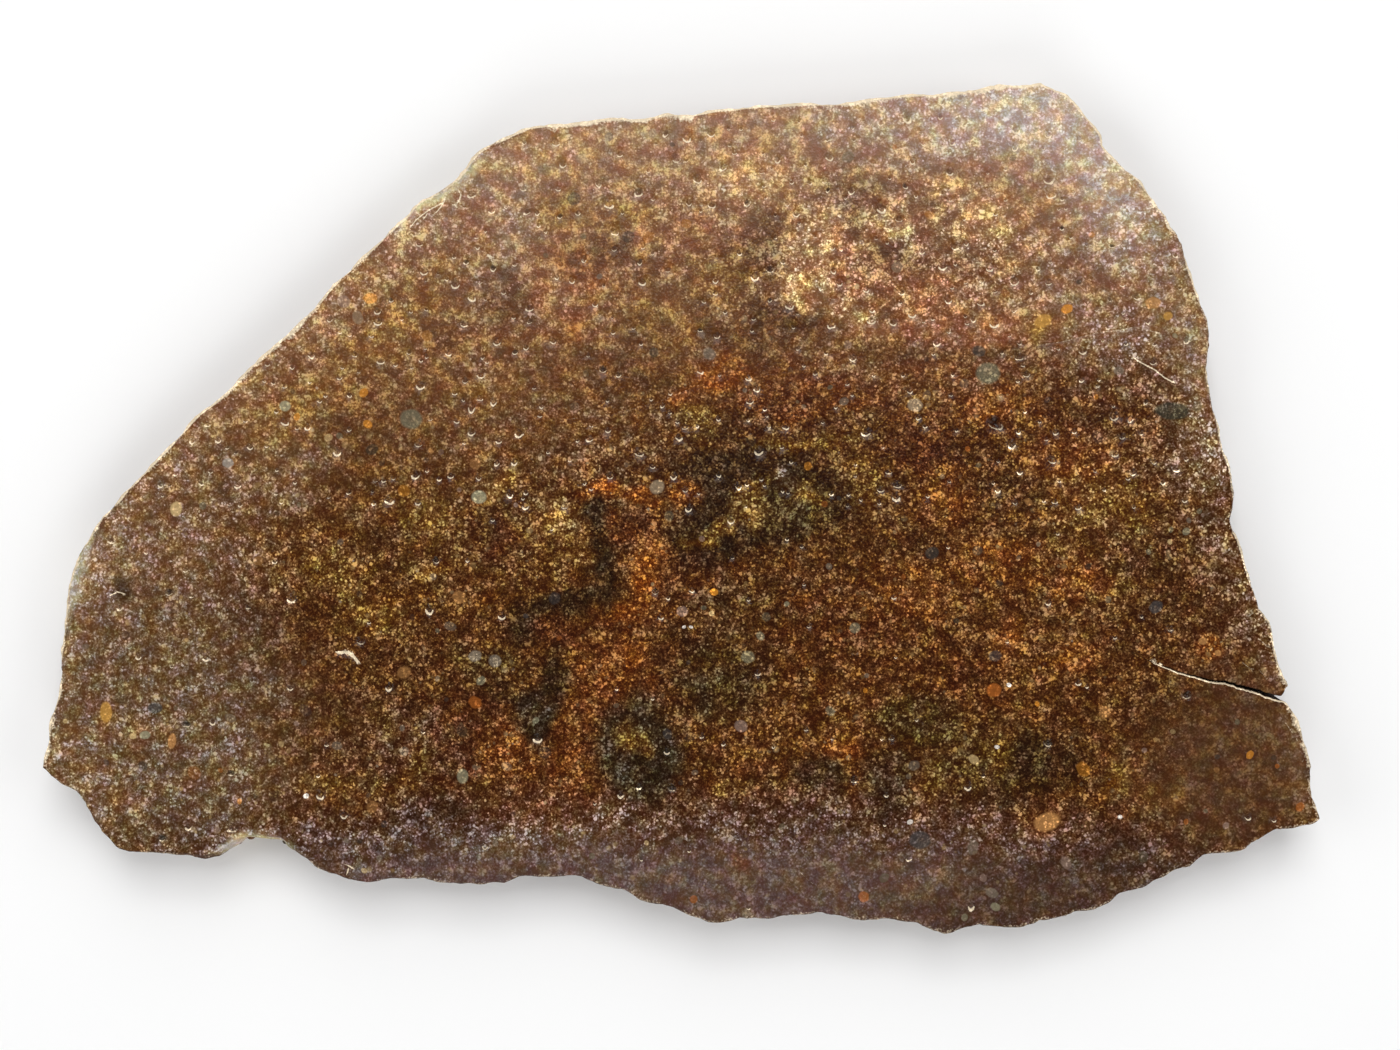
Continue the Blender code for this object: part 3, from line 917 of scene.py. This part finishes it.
def fill(bm, loop, places, up):
    """Closes the opening with triangles through the places, and returns the new vertices."""
    flat = [v.co.to_2d() for v in loop] + [Vector(p[:2]) for p in places]
    ring = [(i, (i + 1) % len(loop)) for i in range(len(loop))]
    _, _, triangles, sources, _, _ = delaunay_2d_cdt(flat, ring, [], 1, WELD / 10)
    made = [bm.verts.new(p) for p in places]
    known = loop + made
    for triangle in triangles:
        corners = [known[sources[i][0]] for i in triangle]
        if not up:
            corners.reverse()
        bm.faces.new(corners)
    return made


back_taken = Near()
for v in back_rim:
    back_taken.add(v.co.x, v.co.y, RIM_CLEARANCE)
back_places = []
for x, y in field(BACK_SPACING, back_rim):
    if back_taken.free(x, y, BACK_SPACING / 4):
        back_places.append((x, y, stone_low.z))
wall_vertices = set(bm.verts)
face_vertices = fill(bm, rim, [(s.x, s.y, FACE_Z - s.depth) for s in spots], up=True)
back_vertices = fill(bm, back_rim, back_places, up=False)

# The colours, the bruised edges, the painted highlights and the painted shade, kept as numbers on the mesh
# for the material to read

TINT_SHARE = 0.92  # the light here is a little stronger than the picture's

# The worn rim: a painted glare on the face beside it, and the wall's pale line, a bruised edge with a painted
# highlight on the lit sides, ragged in height and strength
EDGE_GLARE = (176, 146, 122)
EDGE_GLARE_SHARE = 0.55
EDGE_GLARE_REACH = 0.0008
EDGE_LINE = 0.00014
EDGE_DEPTH = 0.00065
EDGE_FADE = 0.0003
EDGE_PATCHES = 0.0014
EDGE_RAGS = 0.0007
# The wall's pale line is a bruised edge with a painted highlight on top, weakest where the edge faces away
# from the light
EDGE_BRUISE_AND_HIGHLIGHT = 1.2
SHADY_EDGE = 0.28  # the least that an edge away from the light has of it
RIM_STEPS = 3  # neighbours along the rim that are looked at
# The colour of the bruised edges and of the painted highlights
BRUISE_AND_HIGHLIGHT_COLOUR = (238, 218, 186)

# The broken wall and the back
WALL_BROWN = (92, 64, 43)
WALL_BROWN_SHARE = 0.65
WALL_CONTRAST = 0.75
BEVEL_DEPTH = 0.0006
FACET_CALM = 0.8
BACK_BROWN = (112, 88, 68)
BACK_BROWN_SHARE = 0.7
BACK_CONTRAST = 0.6
GRAINS_ABOVE_BACK = 0.0004
GRAINS_BELOW_FACE = 0.0005

# The crack's lips: how deep the painted highlight on the lower one reaches, and where it starts and how fast
# it grows, in such depths
CRACK_LIP = 0.00022
CRACK_LIP_START = 3
CRACK_LIP_GROWTH = 5
SHADY_LIP_DARK = 0.9

# Pale facets of the wall: in the notch, at the flaked corner and down the left bevel
FACETS = (
    ("chalk", 245, 845, 44, 12, -4, 0.9, 0.4),
    ("chalk", 443, 190, 52, 9, 40, 0.75, 0.5),
    ("chalk", 76, 575, 52, 8, 75, 0.6, 0.5),
)


def patch_share(x, y, patch, softness):
    """How far each place is inside a patch, from 0 outside to 1, with a soft border."""
    middle_x, middle_y, half_length, half_width, turn = patch
    centre = plan(middle_x, middle_y)
    a = math.radians(turn)
    dx, dy = x - centre.x, y - centre.y
    along = (dx * math.cos(a) + dy * math.sin(a)) / (half_length * PIXEL)
    across = (-dx * math.sin(a) + dy * math.cos(a)) / (half_width * PIXEL)
    share = np.clip((1 + softness - np.hypot(along, across)) / (2 * softness), 0, 1)
    return share * share * (3 - 2 * share)


# Ragged borders for the patches: how far they are shifted, and over what distance that changes
BORDER_SHIFTS = ((0.0006, 0.0022), (0.0003, 0.0008))
BORDER_SEED = 7

noise.seed_set(BORDER_SEED)  # noise vectors would differ from run to run without it
bm.verts.index_update()
places = np.array([v.co for v in bm.verts])
shifts = np.zeros((len(places), 2))
for v in bm.verts:
    for reach, size in BORDER_SHIFTS:
        shift = noise.noise_vector(v.co / size)
        shifts[v.index] += (reach * shift.x, reach * shift.y)
shifted_x = places[:, 0] + shifts[:, 0]
shifted_y = places[:, 1] + shifts[:, 1]

tint = np.ones((len(places), 3)) * linear(TINTS["brown"])
for colour, *patch, strength, softness in PATCHES:
    share = strength * patch_share(shifted_x, shifted_y, patch, softness)
    tint += share[:, None] * (np.array(linear(TINTS[colour])) - tint)
contrast = np.ones(len(places))
for strength, *patch, softness in CONTRASTS:
    share = patch_share(shifted_x, shifted_y, patch, softness)
    contrast += share * (strength - contrast)
flecks = np.zeros(len(places))
for strength, *patch, softness in FLECKS:
    flecks = np.maximum(flecks, strength * patch_share(shifted_x, shifted_y, patch, softness))
tint *= TINT_SHARE

# Pale bruises and painted highlights on lips and edges, and painted shade in the pits and the crack
bruise = np.zeros(len(places))
dark = np.zeros(len(places))
grain_share = np.zeros(len(places))
grain_colour = np.zeros((len(places), 3))
for v, spot in zip(face_vertices, spots):
    bruise[v.index] = spot.bruise
    dark[v.index] = spot.dark
    if spot.grain:
        grain_share[v.index] = spot.grain_share
        grain_colour[v.index] = linear(GRAIN_COLOURS[spot.grain])


def lit(direction):
    """How much an edge that faces this way catches the light, most of it from the picture's top."""
    return clamp(0.45 + 0.65 * direction.y - 0.12 * direction.x)


def tinge(k, share, colour):
    """Takes the tint of one vertex a share of the way to another colour."""
    tint[k] += share * (np.array(linear(colour)) - tint[k])


# Near the edges that face the light the face gets a painted glare, pale and fading inwards
rim_tree = KDTree(len(rim))
for k, v in enumerate(rim):
    rim_tree.insert(v.co, k)
rim_tree.balance()
facing = []
for k in range(len(rim)):
    along = rim[(k + RIM_STEPS) % len(rim)].co - rim[k - RIM_STEPS].co
    facing.append(Vector((along.y, -along.x)).normalized())
turning = sum(a.co.cross(b.co).z for a, b in zip(rim, rim[1:] + rim[:1]))
if turning < 0:
    facing = [-f for f in facing]
for v in face_vertices:
    _, k, distance = rim_tree.find(v.co)
    if not in_crack(rim[k].co, CRACK_REACH):
        glare = EDGE_GLARE_SHARE * lit(facing[k]) * math.exp(-distance / EDGE_GLARE_REACH)
        tinge(v.index, glare, EDGE_GLARE)

# How far out the wall stands beyond each vertex of the rim, seen from above
outermost = np.zeros(len(rim))
stands_out = {}
for v in wall_vertices:
    if FACE_Z - v.co.z > EDGE_DEPTH or in_crack(v.co, CRACK_REACH):
        continue
    _, k, _ = rim_tree.find((v.co.x, v.co.y, FACE_Z))
    out = (v.co - rim[k].co).to_2d().dot(facing[k])
    stands_out[v] = k, out
    for near in range(k - RIM_STEPS, k + RIM_STEPS + 1):
        near %= len(rim)
        outermost[near] = max(outermost[near], out)

# The wall is duller than the face, and its outermost line is pale: a bruised edge with a painted highlight,
# strongest on the sides that face the light
for v in wall_vertices:
    depth = FACE_Z - v.co.z
    deep = min(1.0, depth / BEVEL_DEPTH)
    tinge(v.index, deep * WALL_BROWN_SHARE, WALL_BROWN)
    contrast[v.index] -= deep * (contrast[v.index] - WALL_CONTRAST)
    for colour, *patch, strength, softness in FACETS:
        share = strength * float(patch_share(v.co.x, v.co.y, patch, softness))
        tinge(v.index, share, TINTS[colour])
        contrast[v.index] *= 1 - FACET_CALM * share
    if in_crack(v.co, CRACK_REACH):
        # The lower lip gets a painted highlight that fades downwards and painted shade below it; the upper
        # lip is painted in shade
        if from_crack(v.co).y < 0:
            grown = clamp(((v.co.x - inner_end) / CRACK_LIP - CRACK_LIP_START) / CRACK_LIP_GROWTH)
            bruise[v.index] = EDGE_BRUISE_AND_HIGHLIGHT * grown * max(0.0, 1 - depth / CRACK_LIP)
            dark[v.index] = min(1.0, depth / CRACK_LIP)
        else:
            dark[v.index] = SHADY_LIP_DARK
    elif v in stands_out:
        k, out = stands_out[v]
        patchy = min(1.0, max(0.5, 0.9 + 0.9 * noise.noise(v.co / EDGE_PATCHES)))
        reach = EDGE_DEPTH * (1 + 0.5 * noise.noise(v.co / EDGE_RAGS))
        patchy *= clamp((reach - depth) / EDGE_FADE)
        line = clamp(2.0 - (outermost[k] - out) / EDGE_LINE)
        bruise[v.index] = EDGE_BRUISE_AND_HIGHLIGHT * line * patchy * max(SHADY_EDGE, lit(facing[k]))
for v in back_vertices + back_rim:
    tinge(v.index, BACK_BROWN_SHARE, BACK_BROWN)
    contrast[v.index] = BACK_CONTRAST

for f in bm.faces:
    f.smooth = True
rim_set, back_rim_set = set(rim), set(back_rim)
for e in bm.edges:
    if rim_set.issuperset(e.verts) or back_rim_set.issuperset(e.verts):
        e.smooth = False

# How polished each face is, and whether grains stand out of it, which they do halfway down the wall
polish = []
grainy = []
face_set, back_set = set(face_vertices) | rim_set, set(back_vertices) | back_rim_set
for f in bm.faces:
    polish.append(1.0 if face_set.issuperset(f.verts) else 0.4 if back_set.issuperset(f.verts) else 0.0)
    heights = [v.co.z for v in f.verts]
    halfway = min(heights) > stone_low.z + GRAINS_ABOVE_BACK and max(heights) < FACE_Z - GRAINS_BELOW_FACE
    grainy.append(1.0 if halfway and not in_crack(f.calc_center_median(), CRACK_REACH * 2) else 0.0)

slice_mesh = bpy.data.meshes.new("stone_slice")
bm.to_mesh(slice_mesh)
bm.free()

for name, domain, values in (
    ("contrast", "POINT", contrast),
    ("flecks", "POINT", flecks),
    ("bruise", "POINT", bruise),
    ("dark", "POINT", dark),
    ("grain_share", "POINT", grain_share),
    ("polish", "FACE", polish),
    ("grainy", "FACE", grainy),
):
    layer = slice_mesh.attributes.new(name, "FLOAT", domain)
    layer.data.foreach_set("value", np.asarray(values, np.float32))
for name, colours in (("tint", tint), ("grain_colour", grain_colour)):
    layer = slice_mesh.attributes.new(name, "FLOAT_COLOR", "POINT")
    with_alpha = np.column_stack([colours, np.ones(len(colours))])
    layer.data.foreach_set("color", with_alpha.astype(np.float32).ravel())

stone_slice = bpy.data.objects.new("stone_slice", slice_mesh)
bpy.context.scene.collection.objects.link(stone_slice)

# The stone's own material

# Grain size in metres, and how much each kind of grain counts for light and dark
COARSE_GRAIN, COARSE_WEIGHT = 0.00045, 0.16
FINE_GRAIN, FINE_WEIGHT = 0.00022, 0.34
DUST_GRAIN, DUST_WEIGHT = 0.00012, 1.1
CLUMP_SIZE, CLUMP_WEIGHT = 0.0011, 0.50
FLECK_SIZE, FLECK_WEIGHT = 0.00095, 1.2
RED_FLECK = 0.0010
WOBBLE_SIZE, WOBBLE_REACH = 0.0006, 0.00015

# Small bright specks: the cell that each has to itself, and how much it counts
SPARKS = ((0.00018, 0.62), (0.00030, 0.5))
# How the clumps gather them: from and to these values of the clumps, this few to this many
GATHER = (0.35, 0.68, 0.25, 1.6)
# How far a speck reaches from its middle, in cells: by how much that varies, and the least
SPECK_REACH = (0.3, 0.15)

CHONDRULE_CELL, CHONDRULE_WEIGHT = 0.00085, 0.42
CHONDRULE_RARITY = 0.62
CHONDRULE_RADII = (0.14, 0.12)
CHONDRULE_MIDDLE_SHADE = 0.35

# How much an area that lacks contrast is mixed with its plain tint
HAZE = 0.35
GREEN_LIMIT, BLUE_LIMIT = 0.90, 0.93

# Bright crystals and painted glints: the cell that each has to itself, and how readily one shows
CRYSTALS_AND_GLINTS = ((0.00028, 0.86), (0.00048, 0.90))
CRYSTAL_AND_GLINT_COLOURS = (
    (0.00, (214, 178, 116)),
    (0.35, (226, 198, 146)),
    (0.65, (200, 142, 82)),
    # The palest of them are painted glints
    (0.80, (232, 216, 188)),
)
# Brightness of the tint at which they are rare and at which all show, and how many show at each
CRYSTAL_AND_GLINT_GROUND = (0.03, 0.10, 0.1, 1.0)

# Colour of the grains against the patch's own: the share of the surface that is darker, and the
# red, green and blue as multiples of the patch's
GRAIN_STEPS = (
    (0.02, (0.30, 0.16, 0.05)),
    (0.12, (0.46, 0.33, 0.18)),
    (0.30, (0.64, 0.55, 0.42)),
    (0.50, (0.88, 0.84, 0.74)),
    (0.70, (1.18, 1.28, 1.42)),
    (0.86, (1.76, 2.12, 2.62)),
    # The brightest steps are in part painted glints
    (0.95, (2.80, 3.75, 5.20)),
    (0.99, (4.90, 7.20, 11.2)),
)
STEP_RANGE = 16
GRAIN_SPREAD = 0.150
SPECK_LIFT = 0.06

# Shifts of the hue, as red, green and blue multiples
PURPLE_SHIFT, YELLOW_SHIFT = (0.94, 0.91, 1.02, 1), (1.09, 1.05, 0.60, 1)
GREEN_SHIFT, RED_SHIFT = (0.87, 1.06, 1.10, 1), (1.15, 0.93, 0.88, 1)

DARKEST = (0.004, 0.003, 0.002, 1)
DARK_SHARE = 0.75
DULL, POLISHED = 0.9, 0.2  # roughness
FACE_GRAIN_HEIGHT = 0.000015
CRUMB_SIZE, CRUMB_HEIGHT = 0.0007, 0.00022


def add_node(tree, kind, settings, inputs):
    """A node with its settings, and its inputs linked or set by name or number."""
    made = tree.nodes.new(kind)
    for name, value in settings.items():
        setattr(made, name, value)
    for key, value in inputs.items():
        if isinstance(value, bpy.types.NodeSocket):
            tree.links.new(value, made.inputs[key])
        else:
            made.inputs[key].default_value = value
    return made


# Shorthands for the nodes of the material that is being made, whose tree is called tree


def sums(operation, *values):
    return add_node(tree, "ShaderNodeMath", {"operation": operation}, dict(enumerate(values))).outputs[0]


def vectors(operation, inputs):
    return add_node(tree, "ShaderNodeVectorMath", {"operation": operation}, inputs).outputs[0]


def attribute(name, output="Fac"):
    return add_node(tree, "ShaderNodeAttribute", {"attribute_name": name}, {}).outputs[output]


def blend_colour(share, a, b, how="MIX"):
    settings = {"data_type": "RGBA", "blend_type": how}
    return add_node(tree, "ShaderNodeMix", settings, {0: share, 6: a, 7: b}).outputs[2]


def times(a, b):
    return blend_colour(1.0, a, b, "MULTIPLY")


def ranged(value, low, high, to_low=0.0, to_high=1.0, kind="LINEAR"):
    """The value taken from one range to another, and held at its ends."""
    inputs = {0: value, 1: low, 2: high, 3: to_low, 4: to_high}
    return add_node(tree, "ShaderNodeMapRange", {"interpolation_type": kind}, inputs).outputs[0]


def graded(value, steps, kind="LINEAR"):
    """A colour for each value: where its steps start, and their linear colours."""
    made = add_node(tree, "ShaderNodeValToRGB", {}, {0: value})
    made.color_ramp.interpolation = kind
    elements = made.color_ramp.elements
    for k, (start, colour) in enumerate(steps):
        step = elements[k] if k < 2 else elements.new(start)
        step.position = start
        step.color = tuple(colour) + (1,)
    return made.outputs[0]


def brightness(colour):
    return add_node(tree, "ShaderNodeRGBToBW", {}, {0: colour}).outputs[0]


def cells(size, where):
    """Random cells: how far each place is from its cell's middle, and three random values of the cell."""
    made = add_node(tree, "ShaderNodeTexVoronoi", {}, {"Vector": where, "Scale": 1 / size})
    values = add_node(tree, "ShaderNodeSeparateColor", {}, {0: made.outputs["Color"]})
    return made.outputs["Distance"], values.outputs


def cloud(size, detail, where):
    inputs = {"Vector": where, "Scale": 1 / size, "Detail": detail, "Roughness": 0.55}
    return add_node(tree, "ShaderNodeTexNoise", {}, inputs).outputs["Fac"]


def add_weighted(total, value, weight):
    offset = sums("SUBTRACT", value, 0.5)
    return sums("MULTIPLY_ADD", offset, weight, total)


def spread(share):
    """Where on the 0 to 1 scale of the grain field a share of the surface lies below."""
    low, high = -4.0, 4.0
    for _ in range(40):
        middle = (low + high) / 2
        if 0.5 * (1 + math.erf(middle / math.sqrt(2))) < share:
            low = middle
        else:
            high = middle
    return 0.5 + GRAIN_SPREAD * middle


stone = bpy.data.materials.new("polished chondrite stone")
stone.use_nodes = True
tree = stone.node_tree
place = add_node(tree, "ShaderNodeTexCoord", {}, {}).outputs["Object"]
inputs = {"Vector": place, "Scale": 1 / WOBBLE_SIZE, "Detail": 1.0}
wobble = add_node(tree, "ShaderNodeTexNoise", {}, inputs).outputs["Color"]
wobble = vectors("SUBTRACT", {0: wobble, 1: (0.5, 0.5, 0.5)})
wobble = vectors("SCALE", {0: wobble, 3: WOBBLE_REACH})
bent = vectors("ADD", {0: place, 1: wobble})


def specks(size, low, high):
    """A small shape in the middle of each cell, and the cell's random values."""
    distance, values = cells(size, bent)
    reach = sums("MULTIPLY_ADD", values[1], *SPECK_REACH)
    return ranged(sums("SUBTRACT", reach, distance), low, high), values


_, coarse = cells(COARSE_GRAIN, bent)
_, fine = cells(FINE_GRAIN, bent)
dust = cloud(DUST_GRAIN, 1.0, place)
clump = cloud(CLUMP_SIZE, 3.0, place)
total = add_weighted(0.5 - SPECK_LIFT, coarse[0], COARSE_WEIGHT)
total = add_weighted(total, fine[0], FINE_WEIGHT)
total = add_weighted(total, dust, DUST_WEIGHT)
total = add_weighted(total, clump, CLUMP_WEIGHT)
fleck = sums("SUBTRACT", cloud(FLECK_SIZE, 3.0, bent), 0.5)
total = sums("MULTIPLY_ADD", sums("MULTIPLY", fleck, attribute("flecks")), FLECK_WEIGHT, total)

# Small bright specks, each in the middle of its cell, few of them very bright, and more in a clump
gather = ranged(clump, *GATHER)
for size, weight in SPARKS:
    shape, values = specks(size, -0.1, 0.12)
    spark = sums("MULTIPLY", sums("POWER", values[0], 2.5), shape)
    total = sums("MULTIPLY_ADD", sums("MULTIPLY", spark, gather), weight, total)

# Round chondrules, in about a third of their cells, lighter or darker than what is round them
distance, values = cells(CHONDRULE_CELL, place)
shown = sums("GREATER_THAN", values[0], CHONDRULE_RARITY)
radius = sums("MULTIPLY_ADD", values[1], *CHONDRULE_RADII)
within = ranged(sums("SUBTRACT", radius, distance), -0.04, 0.03, kind="SMOOTHSTEP")
within = sums("MULTIPLY", within, shown)
shade = sums("SUBTRACT", values[2], CHONDRULE_MIDDLE_SHADE)
total = sums("MULTIPLY_ADD", sums("MULTIPLY", within, shade), CHONDRULE_WEIGHT, total)

grain_steps = [(spread(share), [c / STEP_RANGE for c in colour]) for share, colour in GRAIN_STEPS]
ratio = vectors("SCALE", {0: graded(total, grain_steps), 3: float(STEP_RANGE)})
contrast_now = attribute("contrast")
ratio = add_node(tree, "ShaderNodeGamma", {}, {0: ratio, 1: contrast_now}).outputs[0]
haze = sums("MULTIPLY_ADD", contrast_now, -HAZE, HAZE)
ratio = blend_colour(haze, ratio, (1, 1, 1, 1))

# Hue: the lighter flecks are yellow and the darker ones purple, and some are redder or greener
yellow = sums("MULTIPLY_ADD", fleck, 3.2, 0.5)
yellow = add_weighted(yellow, coarse[1], 0.25)
red = add_weighted(0.5, cloud(RED_FLECK, 2.0, place), 2.2)
red = add_weighted(red, fine[1], 0.15)
ratio = times(ratio, blend_colour(yellow, PURPLE_SHIFT, YELLOW_SHIFT))
ratio = times(ratio, blend_colour(red, GREEN_SHIFT, RED_SHIFT))
tint_now = attribute("tint", "Color")
colour = times(tint_now, ratio)

# No grain is greener than it is red, or bluer than it is green: the bright ones stay warm in the haze
parts = add_node(tree, "ShaderNodeSeparateColor", {}, {0: colour}).outputs
green = sums("MINIMUM", parts[1], sums("MULTIPLY", parts[0], GREEN_LIMIT))
blue = sums("MINIMUM", parts[2], sums("MULTIPLY", green, BLUE_LIMIT))
colour = add_node(tree, "ShaderNodeCombineColor", {}, {0: parts[0], 1: green, 2: blue}).outputs[0]

# Each crystal and painted glint lies in the middle of its cell, they gather in clumps, and the darkest stone
# has few
crystals_and_glints_here = sums("MULTIPLY", ranged(brightness(tint_now), *CRYSTAL_AND_GLINT_GROUND), contrast_now)
crystal_and_glint_steps = [(start, linear(crystal_and_glint)) for start, crystal_and_glint in CRYSTAL_AND_GLINT_COLOURS]
for size, threshold in CRYSTALS_AND_GLINTS:
    shape, values = specks(size, -0.08, 0.1)
    readiness = add_weighted(values[0], clump, 1.3)
    shown = ranged(readiness, threshold, threshold + 0.5)
    share = sums("MULTIPLY", sums("MULTIPLY", shape, shown), crystals_and_glints_here)
    colour = blend_colour(share, colour, graded(values[2], crystal_and_glint_steps, "CONSTANT"))

# Single large grains keep a little of the speckle
speckle = blend_colour(0.3, (1, 1, 1, 1), brightness(ratio))
grain_colour_now = times(attribute("grain_colour", "Color"), speckle)
colour = blend_colour(attribute("grain_share"), colour, grain_colour_now)

# Painted shade in the pits and the crack, and pale with a ragged border where an edge is bruised and where a
# lip carries a painted highlight
colour = blend_colour(sums("MULTIPLY", attribute("dark"), DARK_SHARE), colour, DARKEST)
bruised = sums("MULTIPLY_ADD", dust, 0.6, -0.3)
bruised = ranged(sums("ADD", bruised, attribute("bruise")), 0.28, 0.6)
colour = blend_colour(bruised, colour, times(speckle, linear(BRUISE_AND_HIGHLIGHT_COLOUR) + (1,)))

polish_now = attribute("polish")
roughness = ranged(polish_now, 0.0, 1.0, DULL, POLISHED)
roughness = add_weighted(roughness, dust, 0.2)

# Height in metres: a trace of the grains on the face, and crumbs on the wall, lower on the back
face_height = sums("MULTIPLY", dust, FACE_GRAIN_HEIGHT)
crumbs = sums("MULTIPLY", cloud(CRUMB_SIZE, 3.0, place), CRUMB_HEIGHT)
inputs = {0: sums("SQRT", polish_now), 2: crumbs, 3: face_height}
height = add_node(tree, "ShaderNodeMix", {"data_type": "FLOAT"}, inputs).outputs[0]
bump = add_node(tree, "ShaderNodeBump", {}, {"Height": height, "Distance": 1.0, "Strength": 1.0})

shader = tree.nodes["Principled BSDF"]
shader.inputs["Specular IOR Level"].default_value = 0.2
tree.links.new(colour, shader.inputs["Base Color"])
tree.links.new(roughness, shader.inputs["Roughness"])
tree.links.new(bump.outputs[0], shader.inputs["Normal"])
slice_mesh.materials.append(stone)

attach(stone_slice, "root")
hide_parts("meteorite_slice")

# Grains of the wall
# Where the stone wasn't sawn, its harder chondrules stand out of the softer matrix as round bumps.
# They are grown in it and are part of the same stone.

GRAINS_PER_SQUARE_METRE = 900000.0
SMALLEST_GRAIN, LARGEST_GRAIN = 0.00009, 0.00026
GRAINS_SUNK = 0.00004
LEAST_SQUEEZE, MOST_SQUEEZE = (0.7, 0.7, 0.5), (1.2, 1.2, 0.9)
SPECKLE_SIZE, SPECKLE_HEIGHT = 0.00016, 0.00008
SPECKLE_STEPS = ((0.3, (0.35, 0.3, 0.26)), (0.7, (1.0, 0.95, 0.9)))
# Each grain's colour: the share of the grains that come before it, and the colour
WALL_GRAIN_COLOURS = (
    (0.00, (96, 66, 42)),
    (0.30, (126, 88, 54)),
    (0.50, (80, 70, 56)),
    (0.66, (150, 112, 70)),
    (0.80, (112, 62, 34)),
    (0.92, (172, 150, 118)),
)


def wall_grain_tree():
    """Sets small rough pebbles, half sunk, at random on the faces that are marked as grainy."""
    group = bpy.data.node_groups.new("grains on a broken wall", "GeometryNodeTree")
    face = group.interface
    for name, kind, way, value in (
        ("Stone", "NodeSocketObject", "INPUT", None),
        ("Grains per square metre", "NodeSocketFloat", "INPUT", 0.0),
        ("Smallest", "NodeSocketFloat", "INPUT", 0.0),
        ("Largest", "NodeSocketFloat", "INPUT", 0.0),
        ("Sunk", "NodeSocketFloat", "INPUT", 0.0),
        ("Finish", "NodeSocketMaterial", "INPUT", None),
        ("Seed", "NodeSocketInt", "INPUT", 0),
        ("Grains", "NodeSocketGeometry", "OUTPUT", None),
    ):
        socket = face.new_socket(name, in_out=way, socket_type=kind)
        if value is not None:
            socket.default_value = value
    given = group.nodes.new("NodeGroupInput")
    result = group.nodes.new("NodeGroupOutput")

    def add(kind, inputs, **settings):
        return add_node(group, kind, settings, inputs).outputs

    stone_in = add("GeometryNodeObjectInfo", {"Object": given.outputs["Stone"]})
    marked = add("GeometryNodeInputNamedAttribute", {"Name": "grainy"}, data_type="FLOAT")
    chosen = add("FunctionNodeCompare", {0: marked[0], 1: 0.5}, operation="GREATER_THAN")
    sowing = {
        "Mesh": stone_in["Geometry"],
        "Selection": chosen[0],
        "Density": given.outputs["Grains per square metre"],
        "Seed": given.outputs["Seed"],
    }
    sown = add("GeometryNodeDistributePointsOnFaces", sowing, distribute_method="RANDOM")
    sinking = add("ShaderNodeVectorMath", {0: sown["Normal"], 3: given.outputs["Sunk"]}, operation="SCALE")
    set_in = add("GeometryNodeSetPosition", {"Geometry": sown["Points"], "Offset": sinking[0]})
    pebble = add("GeometryNodeMeshIcoSphere", {"Radius": 1.0, "Subdivisions": 2})
    sizes = {2: given.outputs["Smallest"], 3: given.outputs["Largest"], "Seed": 3}
    girth = add("FunctionNodeRandomValue", sizes, data_type="FLOAT")
    squeezes = {0: LEAST_SQUEEZE, 1: MOST_SQUEEZE, "Seed": 5}
    squeeze = add("FunctionNodeRandomValue", squeezes, data_type="FLOAT_VECTOR")
    scale = add("ShaderNodeVectorMath", {0: squeeze[0], 3: girth[1]}, operation="SCALE")
    placing = {
        "Points": set_in[0],
        "Instance": pebble["Mesh"],
        "Rotation": sown["Rotation"],
        "Scale": scale[0],
    }
    placed = add("GeometryNodeInstanceOnPoints", placing)
    pick = add("FunctionNodeRandomValue", {2: 0.0, 3: 1.0, "Seed": 11}, data_type="FLOAT")
    naming = {"Geometry": placed[0], "Name": "grain_pick", "Value": pick[1]}
    named = add("GeometryNodeStoreNamedAttribute", naming, data_type="FLOAT", domain="INSTANCE")
    real = add("GeometryNodeRealizeInstances", {0: named[0]})
    smooth = add("GeometryNodeSetShadeSmooth", {0: real[0]})
    finished = add("GeometryNodeSetMaterial", {"Geometry": smooth[0], "Material": given.outputs["Finish"]})
    group.links.new(finished[0], result.inputs["Grains"])
    return group


grain_stone = bpy.data.materials.new("chondrule")
grain_stone.use_nodes = True
tree = grain_stone.node_tree
place = add_node(tree, "ShaderNodeTexCoord", {}, {}).outputs["Object"]
colour_steps = [(start, linear(colour)) for start, colour in WALL_GRAIN_COLOURS]
speckle = cloud(SPECKLE_SIZE, 2.0, place)
grain_paint = times(graded(attribute("grain_pick"), colour_steps, "CONSTANT"), graded(speckle, SPECKLE_STEPS))
grain_height = sums("MULTIPLY", speckle, SPECKLE_HEIGHT)
bump = add_node(tree, "ShaderNodeBump", {}, {"Height": grain_height, "Distance": 1.0})
shader = tree.nodes["Principled BSDF"]
shader.inputs["Specular IOR Level"].default_value = 0.3
tree.links.new(grain_paint, shader.inputs["Base Color"])
tree.links.new(sums("MULTIPLY_ADD", speckle, -0.3, 0.85), shader.inputs["Roughness"])
tree.links.new(bump.outputs[0], shader.inputs["Normal"])

grain_host = bpy.data.objects.new("grain_host", bpy.data.meshes.new("grain_host"))
bpy.context.scene.collection.objects.link(grain_host)
maker = grain_host.modifiers.new("grains", "NODES")
maker.node_group = wall_grain_tree()
sockets = {s.name: s.identifier for s in maker.node_group.interface.items_tree if s.in_out == "INPUT"}
maker[sockets["Stone"]] = stone_slice
maker[sockets["Grains per square metre"]] = GRAINS_PER_SQUARE_METRE
maker[sockets["Smallest"]] = SMALLEST_GRAIN
maker[sockets["Largest"]] = LARGEST_GRAIN
maker[sockets["Sunk"]] = -GRAINS_SUNK
maker[sockets["Finish"]] = grain_stone
maker[sockets["Seed"]] = 4
settled = grain_host.evaluated_get(bpy.context.evaluated_depsgraph_get())
wall_grains = bpy.data.objects.new("wall_grains", bpy.data.meshes.new_from_object(settled))
bpy.context.scene.collection.objects.link(wall_grains)
grain_host.modifiers.remove(maker)
bpy.data.objects.remove(grain_host)

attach(wall_grains, "root")
